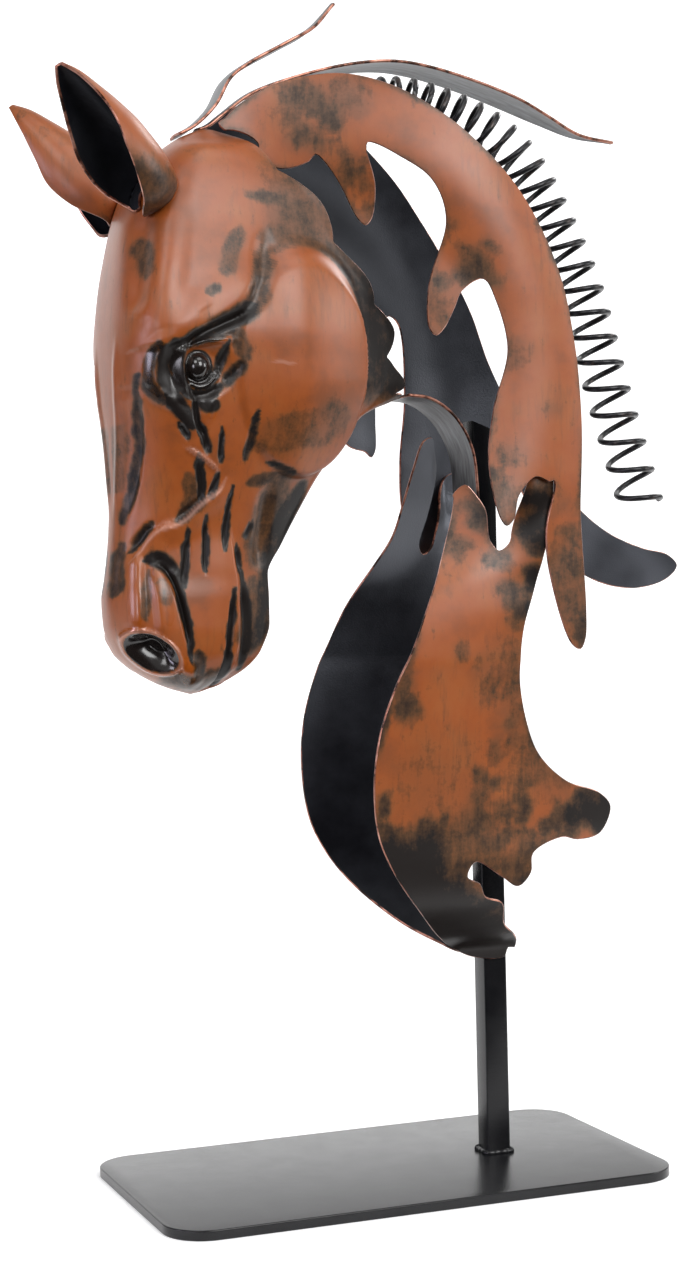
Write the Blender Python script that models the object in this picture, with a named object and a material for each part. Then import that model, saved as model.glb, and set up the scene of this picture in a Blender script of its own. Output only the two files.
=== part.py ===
import math

import bmesh
import bpy
import numpy as np
from mathutils import Vector
from mathutils.bvhtree import BVHTree
from mathutils.geometry import delaunay_2d_cdt

for thing in list(bpy.data.objects):
    bpy.data.objects.remove(thing, do_unlink=True)

MM = 0.001
WELD_GAP = 0.3 * MM

# Stand
BASE_LENGTH = 210 * MM
BASE_WIDTH = 120 * MM
BASE_THICKNESS = 4 * MM
BASE_CORNER = 17 * MM
BASE_EDGE_BREAK = 0.5 * MM
POST_SIDE = 10 * MM
POST_WALL = 1.0 * MM
POST_X = 50 * MM
POST_TOP = 303 * MM
POST_TOP_DROP = 4 * MM

# Sheet
SHEET = 1.2 * MM
STRIP_SHEET = 1.2 * MM

# Neck plates: how far each one stands off the mid-plane
NECK_FRONT_X = -65 * MM
NECK_SPREAD_RUN = 115 * MM
NECK_FRONT_HALF = 17.5 * MM
NECK_BACK_HALF = 44.5 * MM
NECK_ARC_X = -28 * MM
NECK_ARC_Z = 318 * MM
NECK_ARC_MID = 90 * MM
NECK_ARC_REACH = 26 * MM
NECK_DOME = 3.5 * MM

# Chest plates: where the rear finger is bent out to meet the neck plate
MEET_X = 43 * MM
MEET_RUN = 11 * MM
MEET_Z = 256 * MM
MEET_RISE = 19 * MM
MEET_GAP = 1.2 * MM

# Spring
WIRE_RADIUS = 1.15 * MM
COIL_RADIUS = 8.3 * MM
COIL_TURNS = 25
COIL_CLEARANCE = 0.45 * MM
COIL_END_PITCH = 1.75

# Strips
THROAT_HALF_WIDTH = 12 * MM
CREST_HALF_WIDTH = 10 * MM
FORELOCK_HALF_WIDTH = 7.5 * MM

# Ears
EAR_ROOT = Vector((-93, 25, 380.5)) * MM
EAR_TIP = Vector((-131.5, 39, 429)) * MM
EAR_FACING = Vector((-0.81, 0.59, 0.0))
EAR_REACH = 60 * MM
EAR_CLEARANCE = 1.2 * MM
EAR_SINK = 2.0 * MM


def smooth(share):
    t = np.clip(share, 0.0, 1.0)
    return t * t * (3.0 - 2.0 * t)


def along(stations, column, at):
    """Smooth reading of one column of a station list at a height, without overshoot."""
    keys = np.array([s[0] for s in stations], float)
    vals = np.array([s[column] for s in stations], float)
    steps = np.diff(keys)
    slopes = np.diff(vals) / steps
    tangents = np.zeros(len(keys))
    tangents[0] = slopes[0]
    tangents[-1] = slopes[-1]
    for i in range(1, len(keys) - 1):
        if slopes[i - 1] * slopes[i] > 0:
            tangents[i] = 2.0 / (1.0 / slopes[i - 1] + 1.0 / slopes[i])
    at = np.clip(np.asarray(at, float), keys[0], keys[-1])
    i = np.clip(np.searchsorted(keys, at, side="right") - 1, 0, len(steps) - 1)
    t = (at - keys[i]) / steps[i]
    rise = vals[i] * (1 + 2 * t) * (1 - t) ** 2 + vals[i + 1] * t * t * (3 - 2 * t)
    return rise + steps[i] * t * (1 - t) * (tangents[i] * (1 - t) - tangents[i + 1] * t)


def curve_through(points, spacing, closed=False):
    """Even curve through a few points, sampled closer where the points are close."""
    pts = [np.array(p, float) for p in points]
    count = len(pts)
    samples = []
    spans = count if closed else count - 1
    for i in range(spans):
        if closed:
            p0, p1, p2, p3 = (pts[(i + k) % count] for k in (-1, 0, 1, 2))
        else:
            p1, p2 = pts[i], pts[i + 1]
            p0 = pts[i - 1] if i else 2 * p1 - p2
            p3 = pts[i + 2] if i + 2 < count else 2 * p2 - p1
        knots = [0.0]
        for a, b in ((p0, p1), (p1, p2), (p2, p3)):
            knots.append(knots[-1] + max(np.linalg.norm(b - a), 1e-9) ** 0.5)
        t0, t1, t2, t3 = knots
        n = max(2, int(round(np.linalg.norm(p2 - p1) / spacing)))
        for k in range(n):
            t = t1 + (t2 - t1) * k / n
            a1 = (t1 - t) / (t1 - t0) * p0 + (t - t0) / (t1 - t0) * p1
            a2 = (t2 - t) / (t2 - t1) * p1 + (t - t1) / (t2 - t1) * p2
            a3 = (t3 - t) / (t3 - t2) * p2 + (t - t2) / (t3 - t2) * p3
            b1 = (t2 - t) / (t2 - t0) * a1 + (t - t0) / (t2 - t0) * a2
            b2 = (t3 - t) / (t3 - t1) * a2 + (t - t1) / (t3 - t1) * a3
            samples.append((t2 - t) / (t2 - t1) * b1 + (t - t1) / (t2 - t1) * b2)
    if not closed:
        samples.append(pts[-1])
    return np.array(samples)


def cut_outline(features, spacing):
    """Closed outline of a cut sheet, given clockwise in (x, z) millimetres as seen from -Y.

    A plain pair is a point on the edge. A tip or a notch is given by its end,
    the way it points in degrees and its radius.
    """
    points = []
    for feature in features:
        if len(feature) == 2:
            points.append(np.array(feature, float))
            continue
        kind, x, z, angle, radius = feature
        way = np.array([math.cos(math.radians(angle)), math.sin(math.radians(angle))])
        side = np.array([-way[1], way[0]]) * (1 if kind == "tip" else -1)
        end = np.array([x, z], float)
        points.append(end - radius * way + radius * side)
        points.append(end)
        points.append(end - radius * way - radius * side)
    return curve_through(points, spacing, closed=True) * MM


def inside(outline, spots):
    """Which of the spots lie within a closed outline."""
    hits = np.zeros(len(spots), bool)
    x, z = spots[:, 0], spots[:, 1]
    for (x1, z1), (x2, z2) in zip(outline, np.roll(outline, -1, axis=0)):
        if z1 != z2:
            crosses = (z1 > z) != (z2 > z)
            hits ^= crosses & (x < (x2 - x1) * (z - z1) / (z2 - z1) + x1)
    return hits


def sheet_mesh(outline, stand_off, side, grid):
    """Open triangle mesh of a cut sheet bent to its distance from the mid-plane."""
    low, high = outline.min(axis=0), outline.max(axis=0)
    rows = []
    for r, z in enumerate(np.arange(low[1], high[1], grid * 0.866)):
        shift = grid / 2 if r % 2 else 0.0
        rows += [(x + shift, z) for x in np.arange(low[0], high[0], grid)]
    spots = np.array(rows)
    spots = spots[inside(outline, spots)]
    gaps = np.linalg.norm(spots[:, None, :] - outline[None, :, :], axis=2).min(axis=1)
    spots = spots[gaps > grid * 0.5]
    flat = [Vector(p) for p in np.vstack([outline, spots])]
    rim = list(range(len(outline)))
    edges = [(i, (i + 1) % len(rim)) for i in rim]
    verts, _, faces, *_ = delaunay_2d_cdt(flat, edges, [rim], 1, 1e-7)
    solid = [Vector((v.x, side * stand_off(v.x, v.y), v.y)) for v in verts]
    turned = []
    for face in faces:
        a, b, c = (solid[i] for i in face[:3])
        outward = (b - a).cross(c - a).y * side > 0
        turned.append(tuple(face) if outward else tuple(reversed(face)))
    return solid, turned


def thicken(verts, faces, thickness):
    """Closed sheet: the given skin, its inner copy, and square edges between them."""
    normals = [Vector((0, 0, 0)) for _ in verts]
    borders = {}
    for face in faces:
        a, b, c = (verts[face[k]] for k in (0, 1, -1))
        area = (b - a).cross(c - a)
        for i, j in zip(face, face[1:] + face[:1]):
            normals[i] = normals[i] + area
            borders[(i, j)] = True
    count = len(verts)
    skins = list(verts) + [v - n.normalized() * thickness for v, n in zip(verts, normals)]
    panels = list(faces) + [tuple(i + count for i in reversed(f)) for f in faces]
    for i, j in borders:
        if (j, i) not in borders:
            panels.append((j, i, i + count, j + count))
    return skins, panels


def paint(name, colour, roughness, metallic):
    material = bpy.data.materials.new(name)
    material.use_nodes = True
    shader = material.node_tree.nodes["Principled BSDF"]
    shader.inputs["Base Color"].default_value = (*colour, 1.0)
    shader.inputs["Roughness"].default_value = roughness
    shader.inputs["Metallic"].default_value = metallic
    return material


def add_node(name, verts, faces, finish, smooth_angle=None):
    mesh = bpy.data.meshes.new(name)
    mesh.from_pydata([tuple(v) for v in verts], [], faces)
    mesh.validate()
    mesh.update()
    bm = bmesh.new()
    bm.from_mesh(mesh)
    bmesh.ops.triangulate(bm, faces=[f for f in bm.faces if len(f.verts) > 4])
    bm.to_mesh(mesh)
    bm.free()
    node = bpy.data.objects.new(name, mesh)
    bpy.context.scene.collection.objects.link(node)
    mesh.materials.append(paint(name + "_finish", *finish))
    if smooth_angle:
        mesh.shade_smooth()
        mesh.set_sharp_from_angle(angle=math.radians(smooth_angle))
    return node


COPPER_BROWN = ((0.30, 0.10, 0.035), 0.42, 0.35)
BLACK_COAT = ((0.012, 0.013, 0.016), 0.38, 0.2)
GREY_BROWN = ((0.17, 0.13, 0.11), 0.45, 0.4)

# Base plate: rounded rectangle with broken edges
corner_steps = 5
base_rings = []
for inset, height in ((BASE_EDGE_BREAK, 0), (0, BASE_EDGE_BREAK),
                      (0, BASE_THICKNESS - BASE_EDGE_BREAK), (BASE_EDGE_BREAK, BASE_THICKNESS)):
    ring = []
    for quarter in range(4):
        cx = (1, -1, -1, 1)[quarter] * (BASE_LENGTH / 2 - BASE_CORNER)
        cy = (1, 1, -1, -1)[quarter] * (BASE_WIDTH / 2 - BASE_CORNER)
        for step in range(corner_steps + 1):
            turn = math.radians(90 * (quarter + step / corner_steps))
            reach = BASE_CORNER - inset
            ring.append((cx + reach * math.cos(turn), cy + reach * math.sin(turn), height))
    base_rings.append(ring)
ring_size = len(base_rings[0])
base_verts = [v for ring in base_rings for v in ring]
base_faces = [tuple(reversed(range(ring_size))), tuple(range(3 * ring_size, 4 * ring_size))]
for level in range(3):
    for i in range(ring_size):
        j = (i + 1) % ring_size
        low = level * ring_size
        base_faces.append((low + i, low + j, low + ring_size + j, low + ring_size + i))
add_node("base_plate", base_verts, base_faces, BLACK_COAT)

# Post: square tube standing on the base, its top cut on a slant
post_verts = []
for half in (POST_SIDE / 2, POST_SIDE / 2 - POST_WALL):
    for top in (False, True):
        for sx, sy in ((1, 1), (-1, 1), (-1, -1), (1, -1)):
            slant = POST_TOP_DROP * (0.5 + sx * half / POST_SIDE)
            height = POST_TOP - slant if top else BASE_THICKNESS + WELD_GAP
            post_verts.append((POST_X + sx * half, sy * half, height))
post_faces = []
for i in range(4):
    j = (i + 1) % 4
    post_faces.append((i, j, 4 + j, 4 + i))
    post_faces.append((8 + j, 8 + i, 12 + i, 12 + j))
    post_faces.append((4 + i, 4 + j, 12 + j, 12 + i))
    post_faces.append((j, i, 8 + i, 8 + j))
add_node("post", post_verts, post_faces, BLACK_COAT)


# Neck plates
def neck_half(x, z):
    spread = NECK_FRONT_HALF + (NECK_BACK_HALF - NECK_FRONT_HALF) * smooth(
        (x - NECK_FRONT_X) / NECK_SPREAD_RUN)
    ring = math.hypot(x - NECK_ARC_X, z - NECK_ARC_Z)
    rise = max(0.0, 1.0 - ((ring - NECK_ARC_MID) / NECK_ARC_REACH) ** 2)
    return spread + NECK_DOME * rise * rise * smooth((x - NECK_FRONT_X) / (NECK_SPREAD_RUN / 2))


poll_end = [(-49.4, 402.5), (-48.7, 407.4), (-52.6, 410.9), (-58, 412.6),
            ("tip", -63.8, 415.4, 172, 2.4)]
crest_edge = [(-57.5, 421), (-50, 426.5), (-40.5, 431.3), (-18, 434.8), (0, 430.4), (16.5, 421.2),
              (33.7, 406.7)]
upper_locks = [("notch", -9.2, 407.4, 125, 1.8), (-6.2, 390.8), ("tip", -9.4, 376.2, -85, 2.6),
               (-18.8, 391.5), ("notch", -28, 403.3, 95, 2.4), (-40.5, 398)]
left_neck = poll_end + crest_edge + [
    (52.3, 384.4), (64.5, 359.4), (70.4, 333.6), (73.6, 300), (73.4, 262.7), (74.9, 226),
    ("tip", 72, 210.3, -75, 3.2), (61.3, 230.8), (57.2, 257),
    ("notch", 60.3, 276.6, 60, 1.4), (52.2, 278), (45.1, 270.8),
    ("tip", 39.7, 259.2, -95, 2.8), (34, 283.4), (36.7, 304.5), (42.6, 327.6),
    ("notch", 33.5, 354.8, 75, 6.5), (22.8, 344.2),
    ("tip", 15.4, 333.3, -95, 2.8), (12.8, 351.7), (19.3, 377.1), (13.7, 392.9), (2, 402)] + upper_locks
right_neck = poll_end + crest_edge + [
    (46, 391.5), (57.5, 374), (68.7, 352.9), (76.5, 331), (88, 307), (103, 284), (119.6, 266.4),
    (133, 256.8), (149, 250.4), (160.5, 247.6), (165.2, 242.6), (160.2, 237), (143.5, 233), (122, 237.8),
    (101, 255), (86, 283), ("notch", 69, 302.2, 100, 6.0), (58, 283), (53.5, 264),
    ("tip", 44.5, 248, -98, 3.6), (33.8, 268.7), (32.2, 287.8), (35.1, 315.2),
    ("notch", 28.5, 350, 100, 4.0), (21.5, 330), (20.5, 306),
    ("tip", 18, 290.6, -80, 2.6), (5.5, 295.9), (1, 318), (0.5, 342), (-3, 362),
    (-11, 379), (-23, 391.5), (-38, 397), (-48.5, 398.8)]

for label, side, features in (("left", -1, left_neck), ("right", 1, right_neck)):
    outline = cut_outline(features, 8.5)
    skin = sheet_mesh(outline, neck_half, side, 19 * MM)
    add_node(label + "_neck_plate", *thicken(*skin, SHEET), COPPER_BROWN, 35)

# Chest plates: stand-off of the front edge by height, its x, and the change toward the back
chest_stations = [
    (80, 6.6, 40, 0.0), (89, 7.2, 34, 0.0), (97, 19, 20.6, 0.0), (114, 34, 1.4, -0.02),
    (127, 37.5, -8, -0.05), (141, 39, -13.4, -0.08), (161, 41, -15.4, -0.10),
    (186, 44, -11, -0.12), (201, 46, -7, -0.14), (208, 47, -3.5, -0.14), (216, 46.6, 0, -0.13),
    (226, 45, 5, -0.09), (236, 41.3, 10.5, -0.02), (247, 34.8, 18, 0.20), (258, 29.2, 23, 0.42),
    (275, 27, 29, 0.485),
    (300, 27, 33, 0.485)]


def chest_half(x, z):
    front = along(chest_stations, 1, z / MM)
    slope = along(chest_stations, 3, z / MM)
    start = along(chest_stations, 2, z / MM)
    reach = float(front + slope * (x / MM - start)) * MM
    meets = float(smooth((x - MEET_X) / MEET_RUN) * smooth((z - MEET_Z) / MEET_RISE))
    reach += (neck_half(x, z) - SHEET - MEET_GAP - reach) * meets
    return max(POST_SIDE / 2 + WELD_GAP + SHEET, reach)


chest_front = [(53.5, 84.6), (40, 85.4), (30.5, 89.6), (18.1, 97.7), (2.2, 113.8), (-7.6, 127.7),
               (-13.5, 141.4), (-15.6, 161), (-13.5, 181), (-7, 200), (0, 214), (6.5, 228),
               (15.2, 243.6), (23, 259), (26.4, 271)]
rear_edge = [(59.5, 258), (55.2, 237.6), (49.6, 220), (48.3, 203), (51, 185.2), (57.5, 169.5),
             (70.7, 157.6), (86.1, 151.9), (91.1, 146), (85.7, 135.9), (75, 133.8), (68, 135.2),
             (54.2, 129.7), (53.2, 122.3), (47.7, 116.9), (40.1, 121.4),
             ("notch", 25.2, 122.4, 195, 4.6), (33.5, 113.8), (41.5, 110.5), (46, 101),
             ("tip", 58, 88, -50, 2.0)]
finger_notch = [("notch", 40.2, 250, -100, 3.4), (45.6, 258), (48.5, 268)]
rear_finger = ("tip", 57.5, 284, 80, 4.6)
left_chest = chest_front + [("tip", 31, 276.3, 85, 4.4), (37.4, 266)] + finger_notch + [
    rear_finger] + rear_edge
right_chest = chest_front + [(31.8, 285.2), ("tip", 42.5, 298.4, 60, 3.6)] + [
    (45, 285), (40.5, 266)] + finger_notch + [rear_finger] + rear_edge

for label, side, features in (("left", -1, left_chest), ("right", 1, right_chest)):
    outline = cut_outline(features, 8.5)
    skin = sheet_mesh(outline, chest_half, side, 16 * MM)
    add_node(label + "_chest_plate", *thicken(*skin, SHEET), COPPER_BROWN, 35)


# Mane spring: one wire wound on a line just inside the left neck plate
spring_line = [(-4, 425.5), (10, 425.5), (24, 421.5), (35.5, 416.5), (45.5, 410.5), (54.5, 402),
               (62, 391), (70.5, 375), (79.5, 355.5), (85.3, 337), (90.6, 317), (95.7, 300),
               (101, 283), (106, 267)]
coil_path = curve_through(spring_line, 2.0) * MM
coil_runs = np.concatenate([[0], np.cumsum(np.linalg.norm(np.diff(coil_path, axis=0), axis=1))])
coil_runs = coil_runs / coil_runs[-1]


def wire_mesh(per_turn, sides):
    steps = COIL_TURNS * per_turn
    centres = []
    for step in range(steps + 1):
        turn = step / steps
        run = turn * (1 + (COIL_END_PITCH - 1) * turn) / COIL_END_PITCH
        x = np.interp(run, coil_runs, coil_path[:, 0])
        z = np.interp(run, coil_runs, coil_path[:, 1])
        ahead = min(run + 0.01, 1.0)
        behind = max(run - 0.01, 0.0)
        dx, dz = (np.interp(ahead, coil_runs, coil_path[:, c]) - np.interp(behind, coil_runs, coil_path[:, c])
                  for c in (0, 1))
        out = Vector((-dz, 0, dx)).normalized()
        inner_face = neck_half(x, z) - SHEET
        y = COIL_CLEARANCE + WIRE_RADIUS + COIL_RADIUS - inner_face
        phase = 2 * math.pi * COIL_TURNS * turn
        centre = Vector((x, y, z))
        round_way = out * math.cos(phase) + Vector((0, 1, 0)) * math.sin(phase)
        centres.append(centre + COIL_RADIUS * round_way)
    verts = []
    for i, centre in enumerate(centres):
        way = (centres[min(i + 1, steps)] - centres[max(i - 1, 0)]).normalized()
        across = way.cross(Vector((0.3, 0.2, 1))).normalized()
        up = across.cross(way)
        for k in range(sides):
            angle = 2 * math.pi * k / sides
            verts.append(centre + WIRE_RADIUS * (across * math.cos(angle) + up * math.sin(angle)))
    faces = [tuple(range(sides)), tuple(reversed(range(steps * sides, (steps + 1) * sides)))]
    for i in range(steps):
        for k in range(sides):
            a = i * sides + k
            b = i * sides + (k + 1) % sides
            faces.append((a, a + sides, b + sides, b))
    return verts, faces


add_node("mane_spring", *wire_mesh(8, 4), BLACK_COAT, 80)

# Head shell: level sections from the lips up to the poll, in millimetres.
# height, front, widest at, half width, back corner, its half width, squareness, back middle
head_stations = [
    (197.5, -78, -75.5, 3.0, -73, 1.5, 2.0, -72), (199, -83, -77, 8.0, -69, 4.5, 2.0, -67),
    (202, -90, -80, 13.0, -62.5, 7.5, 2.1, -60), (207, -98, -83, 17.5, -55.5, 10, 2.2, -53),
    (214, -104.8, -85, 20.5, -50.5, 12, 2.3, -48), (224, -108.4, -86, 22.3, -47, 13, 2.4, -44.5),
    (234, -109, -84, 22.5, -47.2, 12.5, 2.4, -44.8), (243, -107.8, -81, 21.8, -47.8, 12, 2.4, -45.4),
    (255, -106.2, -78, 22.2, -41, 12, 2.3, -38.5), (268, -105.2, -75, 24.5, -34, 13, 2.3, -31),
    (281, -104.8, -73, 28.0, -27, 15, 2.4, -23), (292, -105.0, -72, 31.0, -18.5, 17, 2.5, -14),
    (303, -105.5, -73, 33.4, -10, 16.5, 2.7, -6), (307, -105.8, -74, 34.2, -4, 14.5, 2.8, 1),
    (310, -106.0, -75, 34.8, 2, 13.5, 2.9, 9), (312.8, -106.1, -76, 35.3, 7.5, 13, 2.9, 14),
    (315, -106.2, -77, 35.7, 9, 13, 3.0, 14), (324, -106.4, -79, 37.0, 3.2, 16.5, 3.1, 14),
    (336, -106.2, -82, 38.4, 2.5, 19.5, 3.0, 14), (346, -105.6, -84, 38.2, -3, 22.5, 2.8, 14),
    (356, -104.7, -83, 37.0, -10, 24.5, 2.6, 14), (366, -103.3, -81, 34.8, -19, 26.2, 2.4, 14),
    (376, -101.4, -78, 32.4, -25, 27.0, 2.3, 14), (386, -98.4, -76, 30.4, -31, 27.3, 2.2, 14),
    (394, -94.2, -74, 28.6, -39, 26.6, 2.2, 14), (400, -89.8, -72, 26.8, -47, 25.0, 2.2, 14),
    (406, -83.6, -70, 22.8, -53, 21.4, 2.2, 14), (409, -79.5, -69, 16.4, -56.5, 15.0, 2.2, 14),
    (412, -74.8, -67.5, 12.4, -60, 11.4, 2.2, 14), (414.5, -69, -66, 8.0, -63, 7.2, 2.2, 14)]
THROAT_Z = 312.8
lobe_ends = [312.8, 327, 347, 370, 397, 414.5]
LOBE_DEPTH = 4.2
DISC_X, DISC_Z = -37.0, 323.0
DISC_HALF_LENGTH, DISC_HALF_HEIGHT = 27.5, 42.0
DISC_EDGE = 1.6


def side_columns(z, widest, back, count):
    """Where a section's side is sampled: closer together at the back edge of the cheek disc."""
    even = np.linspace(widest, back, count + 1)
    reach = math.sqrt(max(0.0, 1 - ((z - DISC_Z) / DISC_HALF_HEIGHT) ** 2)) * DISC_HALF_LENGTH
    front_edge, back_edge = DISC_X - reach, min(DISC_X + reach, back - 2 * DISC_EDGE)
    third = count // 3
    gathered = np.concatenate([
        np.linspace(widest, front_edge, third, endpoint=False),
        np.linspace(front_edge, back_edge - DISC_EDGE, count - third - 1),
        [back_edge + DISC_EDGE, back]])
    return even + (gathered - even) * float(smooth(reach / 14))


def head_section(z, front_count, side_count, close_count):
    """Half of a level section, from the nose side round to the back."""
    front, widest, half, back, back_half, square, middle = (
        float(along(head_stations, c, z)) for c in range(1, 8))
    for low, high in zip(lobe_ends, lobe_ends[1:]):
        if low < z < high:
            back += LOBE_DEPTH * math.sin(math.pi * (z - low) / (high - low)) ** 0.8
    points = []
    for i in range(front_count):
        turn = 0.5 * math.pi * i / front_count
        points.append((widest - (widest - front) * math.cos(turn) ** (2 / square),
                       half * math.sin(turn) ** (2 / square)))
    for x in side_columns(z, widest, back, side_count):
        share = (x - widest) / (back - widest)
        points.append((x, back_half + (half - back_half) * (1 - share ** 2.2)))
    if z <= THROAT_Z:
        for i in range(1, close_count + 1):
            turn = 0.5 * math.pi * i / close_count
            points.append((back + (middle - back) * math.sin(turn), back_half * math.cos(turn)))
    return points


def dome(x, z, cx, cz, rx, rz, edge):
    """1 inside an oval, falling to 0 outside it over the given share of its radius."""
    ring = math.hypot((x - cx) / rx, (z - cz) / rz)
    return float(smooth((1 + edge - ring) / (2 * edge)))


def ridge(x, z, line, radius):
    """1 on a broken line, falling smoothly to 0 at the radius."""
    best = 1e9
    for (ax, az), (bx, bz) in zip(line, line[1:]):
        dx, dz = bx - ax, bz - az
        t = min(1.0, max(0.0, ((x - ax) * dx + (z - az) * dz) / (dx * dx + dz * dz)))
        best = min(best, math.hypot(x - ax - t * dx, z - az - t * dz))
    return float(smooth(1 - best / radius))


def head_relief(x, z, facing):
    """Pressed-out height in millimetres at a place on the side of the head."""
    ring = math.hypot((x - DISC_X) / DISC_HALF_LENGTH, (z - DISC_Z) / DISC_HALF_HEIGHT)
    rear = float(smooth((x - DISC_X + 22) / 22))
    rise = 2.4 * max(0.0, 1 - ring ** 2)
    rise += (1.0 + 3.6 * rear) * float(smooth((1 - ring) * DISC_HALF_LENGTH / (2 * DISC_EDGE) + 0.5))
    rise -= 1.8 * ridge(x, z, [(-54, 366), (-57, 345), (-55, 331)], 6)
    rise -= 2.6 * dome(x, z, -81, 319, 15, 9, 0.5)
    rise += 4.4 * dome(x, z, -80.5, 319, 4.4, 4.6, 0.5)
    rise += 2.6 * ridge(x, z, [(-97, 327), (-86, 334), (-68, 337)], 7)
    rise -= 1.8 * ridge(x, z, [(-101, 308), (-101, 280), (-106, 262)], 5)
    rise += 2.2 * dome(x, z, -96, 217, 11, 8.5, 0.4)
    rise -= 6.0 * dome(x, z, -97, 217, 6.6, 5.0, 0.55)
    rise -= 2.0 * ridge(x, z, [(-63.5, 238), (-64, 222), (-66, 203)], 4.5)
    rise -= 1.5 * ridge(x, z, [(-48, 249), (-52, 262), (-55, 280)], 7)
    return rise * facing


def head_skin(heights, front_count, side_count, close_count):
    open_size = front_count + side_count + 1
    verts, slots = [], []
    for z in heights:
        ring = {}
        section = head_section(z, front_count, side_count, close_count)
        for i, (x, y) in enumerate(section):
            centre = i == 0 or i == open_size - 1 + close_count
            for side in ((1,) if centre else (1, -1)):
                ring[(side, i)] = len(verts)
                verts.append(Vector((x, 0.0 if centre else side * y, z)))
            if centre:
                ring[(-1, i)] = ring[(1, i)]
        slots.append((ring, len(section)))
    faces = []
    for (low, low_size), (high, high_size) in zip(slots, slots[1:]):
        for i in range(min(low_size, high_size) - 1):
            for side in (1, -1):
                loop = [low[(side, i)], high[(side, i)], high[(side, i + 1)], low[(side, i + 1)]]
                if side < 0:
                    loop.reverse()
                faces.append(tuple(loop))
    bottom, size = slots[0]
    rim = [bottom[(1, i)] for i in range(size)] + [bottom[(-1, i)] for i in range(size - 2, 0, -1)]
    verts.append(Vector((-75.5, 0, heights[0] - 0.7)))
    for a, b in zip(rim, rim[1:] + rim[:1]):
        faces.append((len(verts) - 1, a, b))
    normals = [Vector((0, 0, 0)) for _ in verts]
    for face in faces:
        a, b, c = (verts[face[k]] for k in (0, 1, -1))
        area = (b - a).cross(c - a)
        for i in face:
            normals[i] = normals[i] + area
    raised = []
    for v, n in zip(verts, normals):
        n.normalize()
        facing = float(smooth((abs(n.y) - 0.12) / 0.3))
        raised.append((v + n * head_relief(v.x, v.z, facing)) * MM)
    return raised, faces


head_heights = [197.5, 199, 202, 207, 213, 219, 226, 235, 243, 252, 261, 270, 281,
                288, 295, 302, 307, 312.8, 316, 321, 327, 333, 340, 347, 355, 363, 370,
                379, 388, 397, 402, 406, 409, 412, 414.5]
head_verts, head_faces = head_skin(head_heights, 6, 9, 2)
head_shell = add_node("head_shell", *thicken(head_verts, head_faces, SHEET), COPPER_BROWN, 60)


# Ears: rolled leaves seated on the head. run, radius, turn of the opening, half the opening,
# how far the centre is set back behind the straight line from root to tip
ear_stations = [(-0.03, 5.6, -52, 12, 3.8), (0.00, 8.6, -46, 28, 3.6), (0.05, 11.6, -40, 46, 3.0),
                (0.12, 13.4, -30, 55, 2.1), (0.28, 14.6, -16, 58, 0.5), (0.45, 13.9, -6, 61, 0),
                (0.63, 11.3, 0, 75, 0), (0.78, 8.3, 3, 85, 0), (0.90, 5.5, 3, 91, 0),
                (1.0, 1.6, 3, 95, 0)]


def ear_skin(side, around, runs, seat):
    root = EAR_ROOT.copy()
    tip = EAR_TIP.copy()
    facing = EAR_FACING.copy()
    for v in (root, tip, facing):
        v.y *= side
    axis = (tip - root).normalized()
    front = (facing - axis * facing.dot(axis)).normalized()
    across = axis.cross(front)
    verts = []
    for run in runs:
        radius = float(along(ear_stations, 1, run)) * MM
        turned = -math.radians(float(along(ear_stations, 2, run))) * side
        opening = math.radians(float(along(ear_stations, 3, run)))
        centre = root + (tip - root) * run - front * float(along(ear_stations, 4, run)) * MM
        for i in range(around + 1):
            angle = turned + opening + (2 * math.pi - 2 * opening) * i / around
            spot = centre + radius * (front * math.cos(angle) + across * math.sin(angle))
            hit = seat.ray_cast(spot + axis * EAR_REACH, -axis)[0]
            least = (hit - spot).dot(axis) + EAR_CLEARANCE if hit else 0.0
            lowest = -EAR_SINK if run == runs[0] else 0.0
            spot = spot + axis * max(least, lowest)
            verts.append(spot)
    faces = []
    for j in range(len(runs) - 1):
        for i in range(around):
            a = j * (around + 1) + i
            faces.append((a, a + 1, a + around + 2, a + around + 1))
    return verts, faces


seat = BVHTree.FromPolygons(head_verts, head_faces)
for label, side in (("left", -1), ("right", 1)):
    skin = ear_skin(side, 8, [station[0] for station in ear_stations], seat)
    add_node(label + "_ear", *thicken(*skin, SHEET), COPPER_BROWN, 60)


# Strips: bands with their width across the mid-plane
def band(centre, half_width, rows):
    line = curve_through(centre, 11.0) * MM
    runs = np.concatenate([[0], np.cumsum(np.linalg.norm(np.diff(line, axis=0), axis=1))])
    verts = []
    for (x, z), run in zip(line, runs / runs[-1]):
        verts += [Vector((x, half_width(run) * (2 * k / rows - 1), z)) for k in range(rows + 1)]
    faces = []
    for i in range(len(line) - 1):
        for k in range(rows):
            a = i * (rows + 1) + k
            faces.append((a, a + rows + 1, a + rows + 2, a + 1))
    return verts, faces


def leaf(root_share, full_width, tip_width):
    def half_width(run):
        swell = root_share + (1 - root_share) * smooth(run / 0.45)
        taper = 1 - (1 - tip_width) * smooth((run - 0.72) / 0.28)
        return full_width * swell * taper
    return half_width


def head_top(x):
    """Height of a strip's middle standing on the crown of the head, in millimetres."""
    hit = seat.ray_cast(Vector((x * MM, 0, POST_TOP * 2)), Vector((0, 0, -1)))[0]
    return (hit.z + WELD_GAP + STRIP_SHEET) / MM


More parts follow.
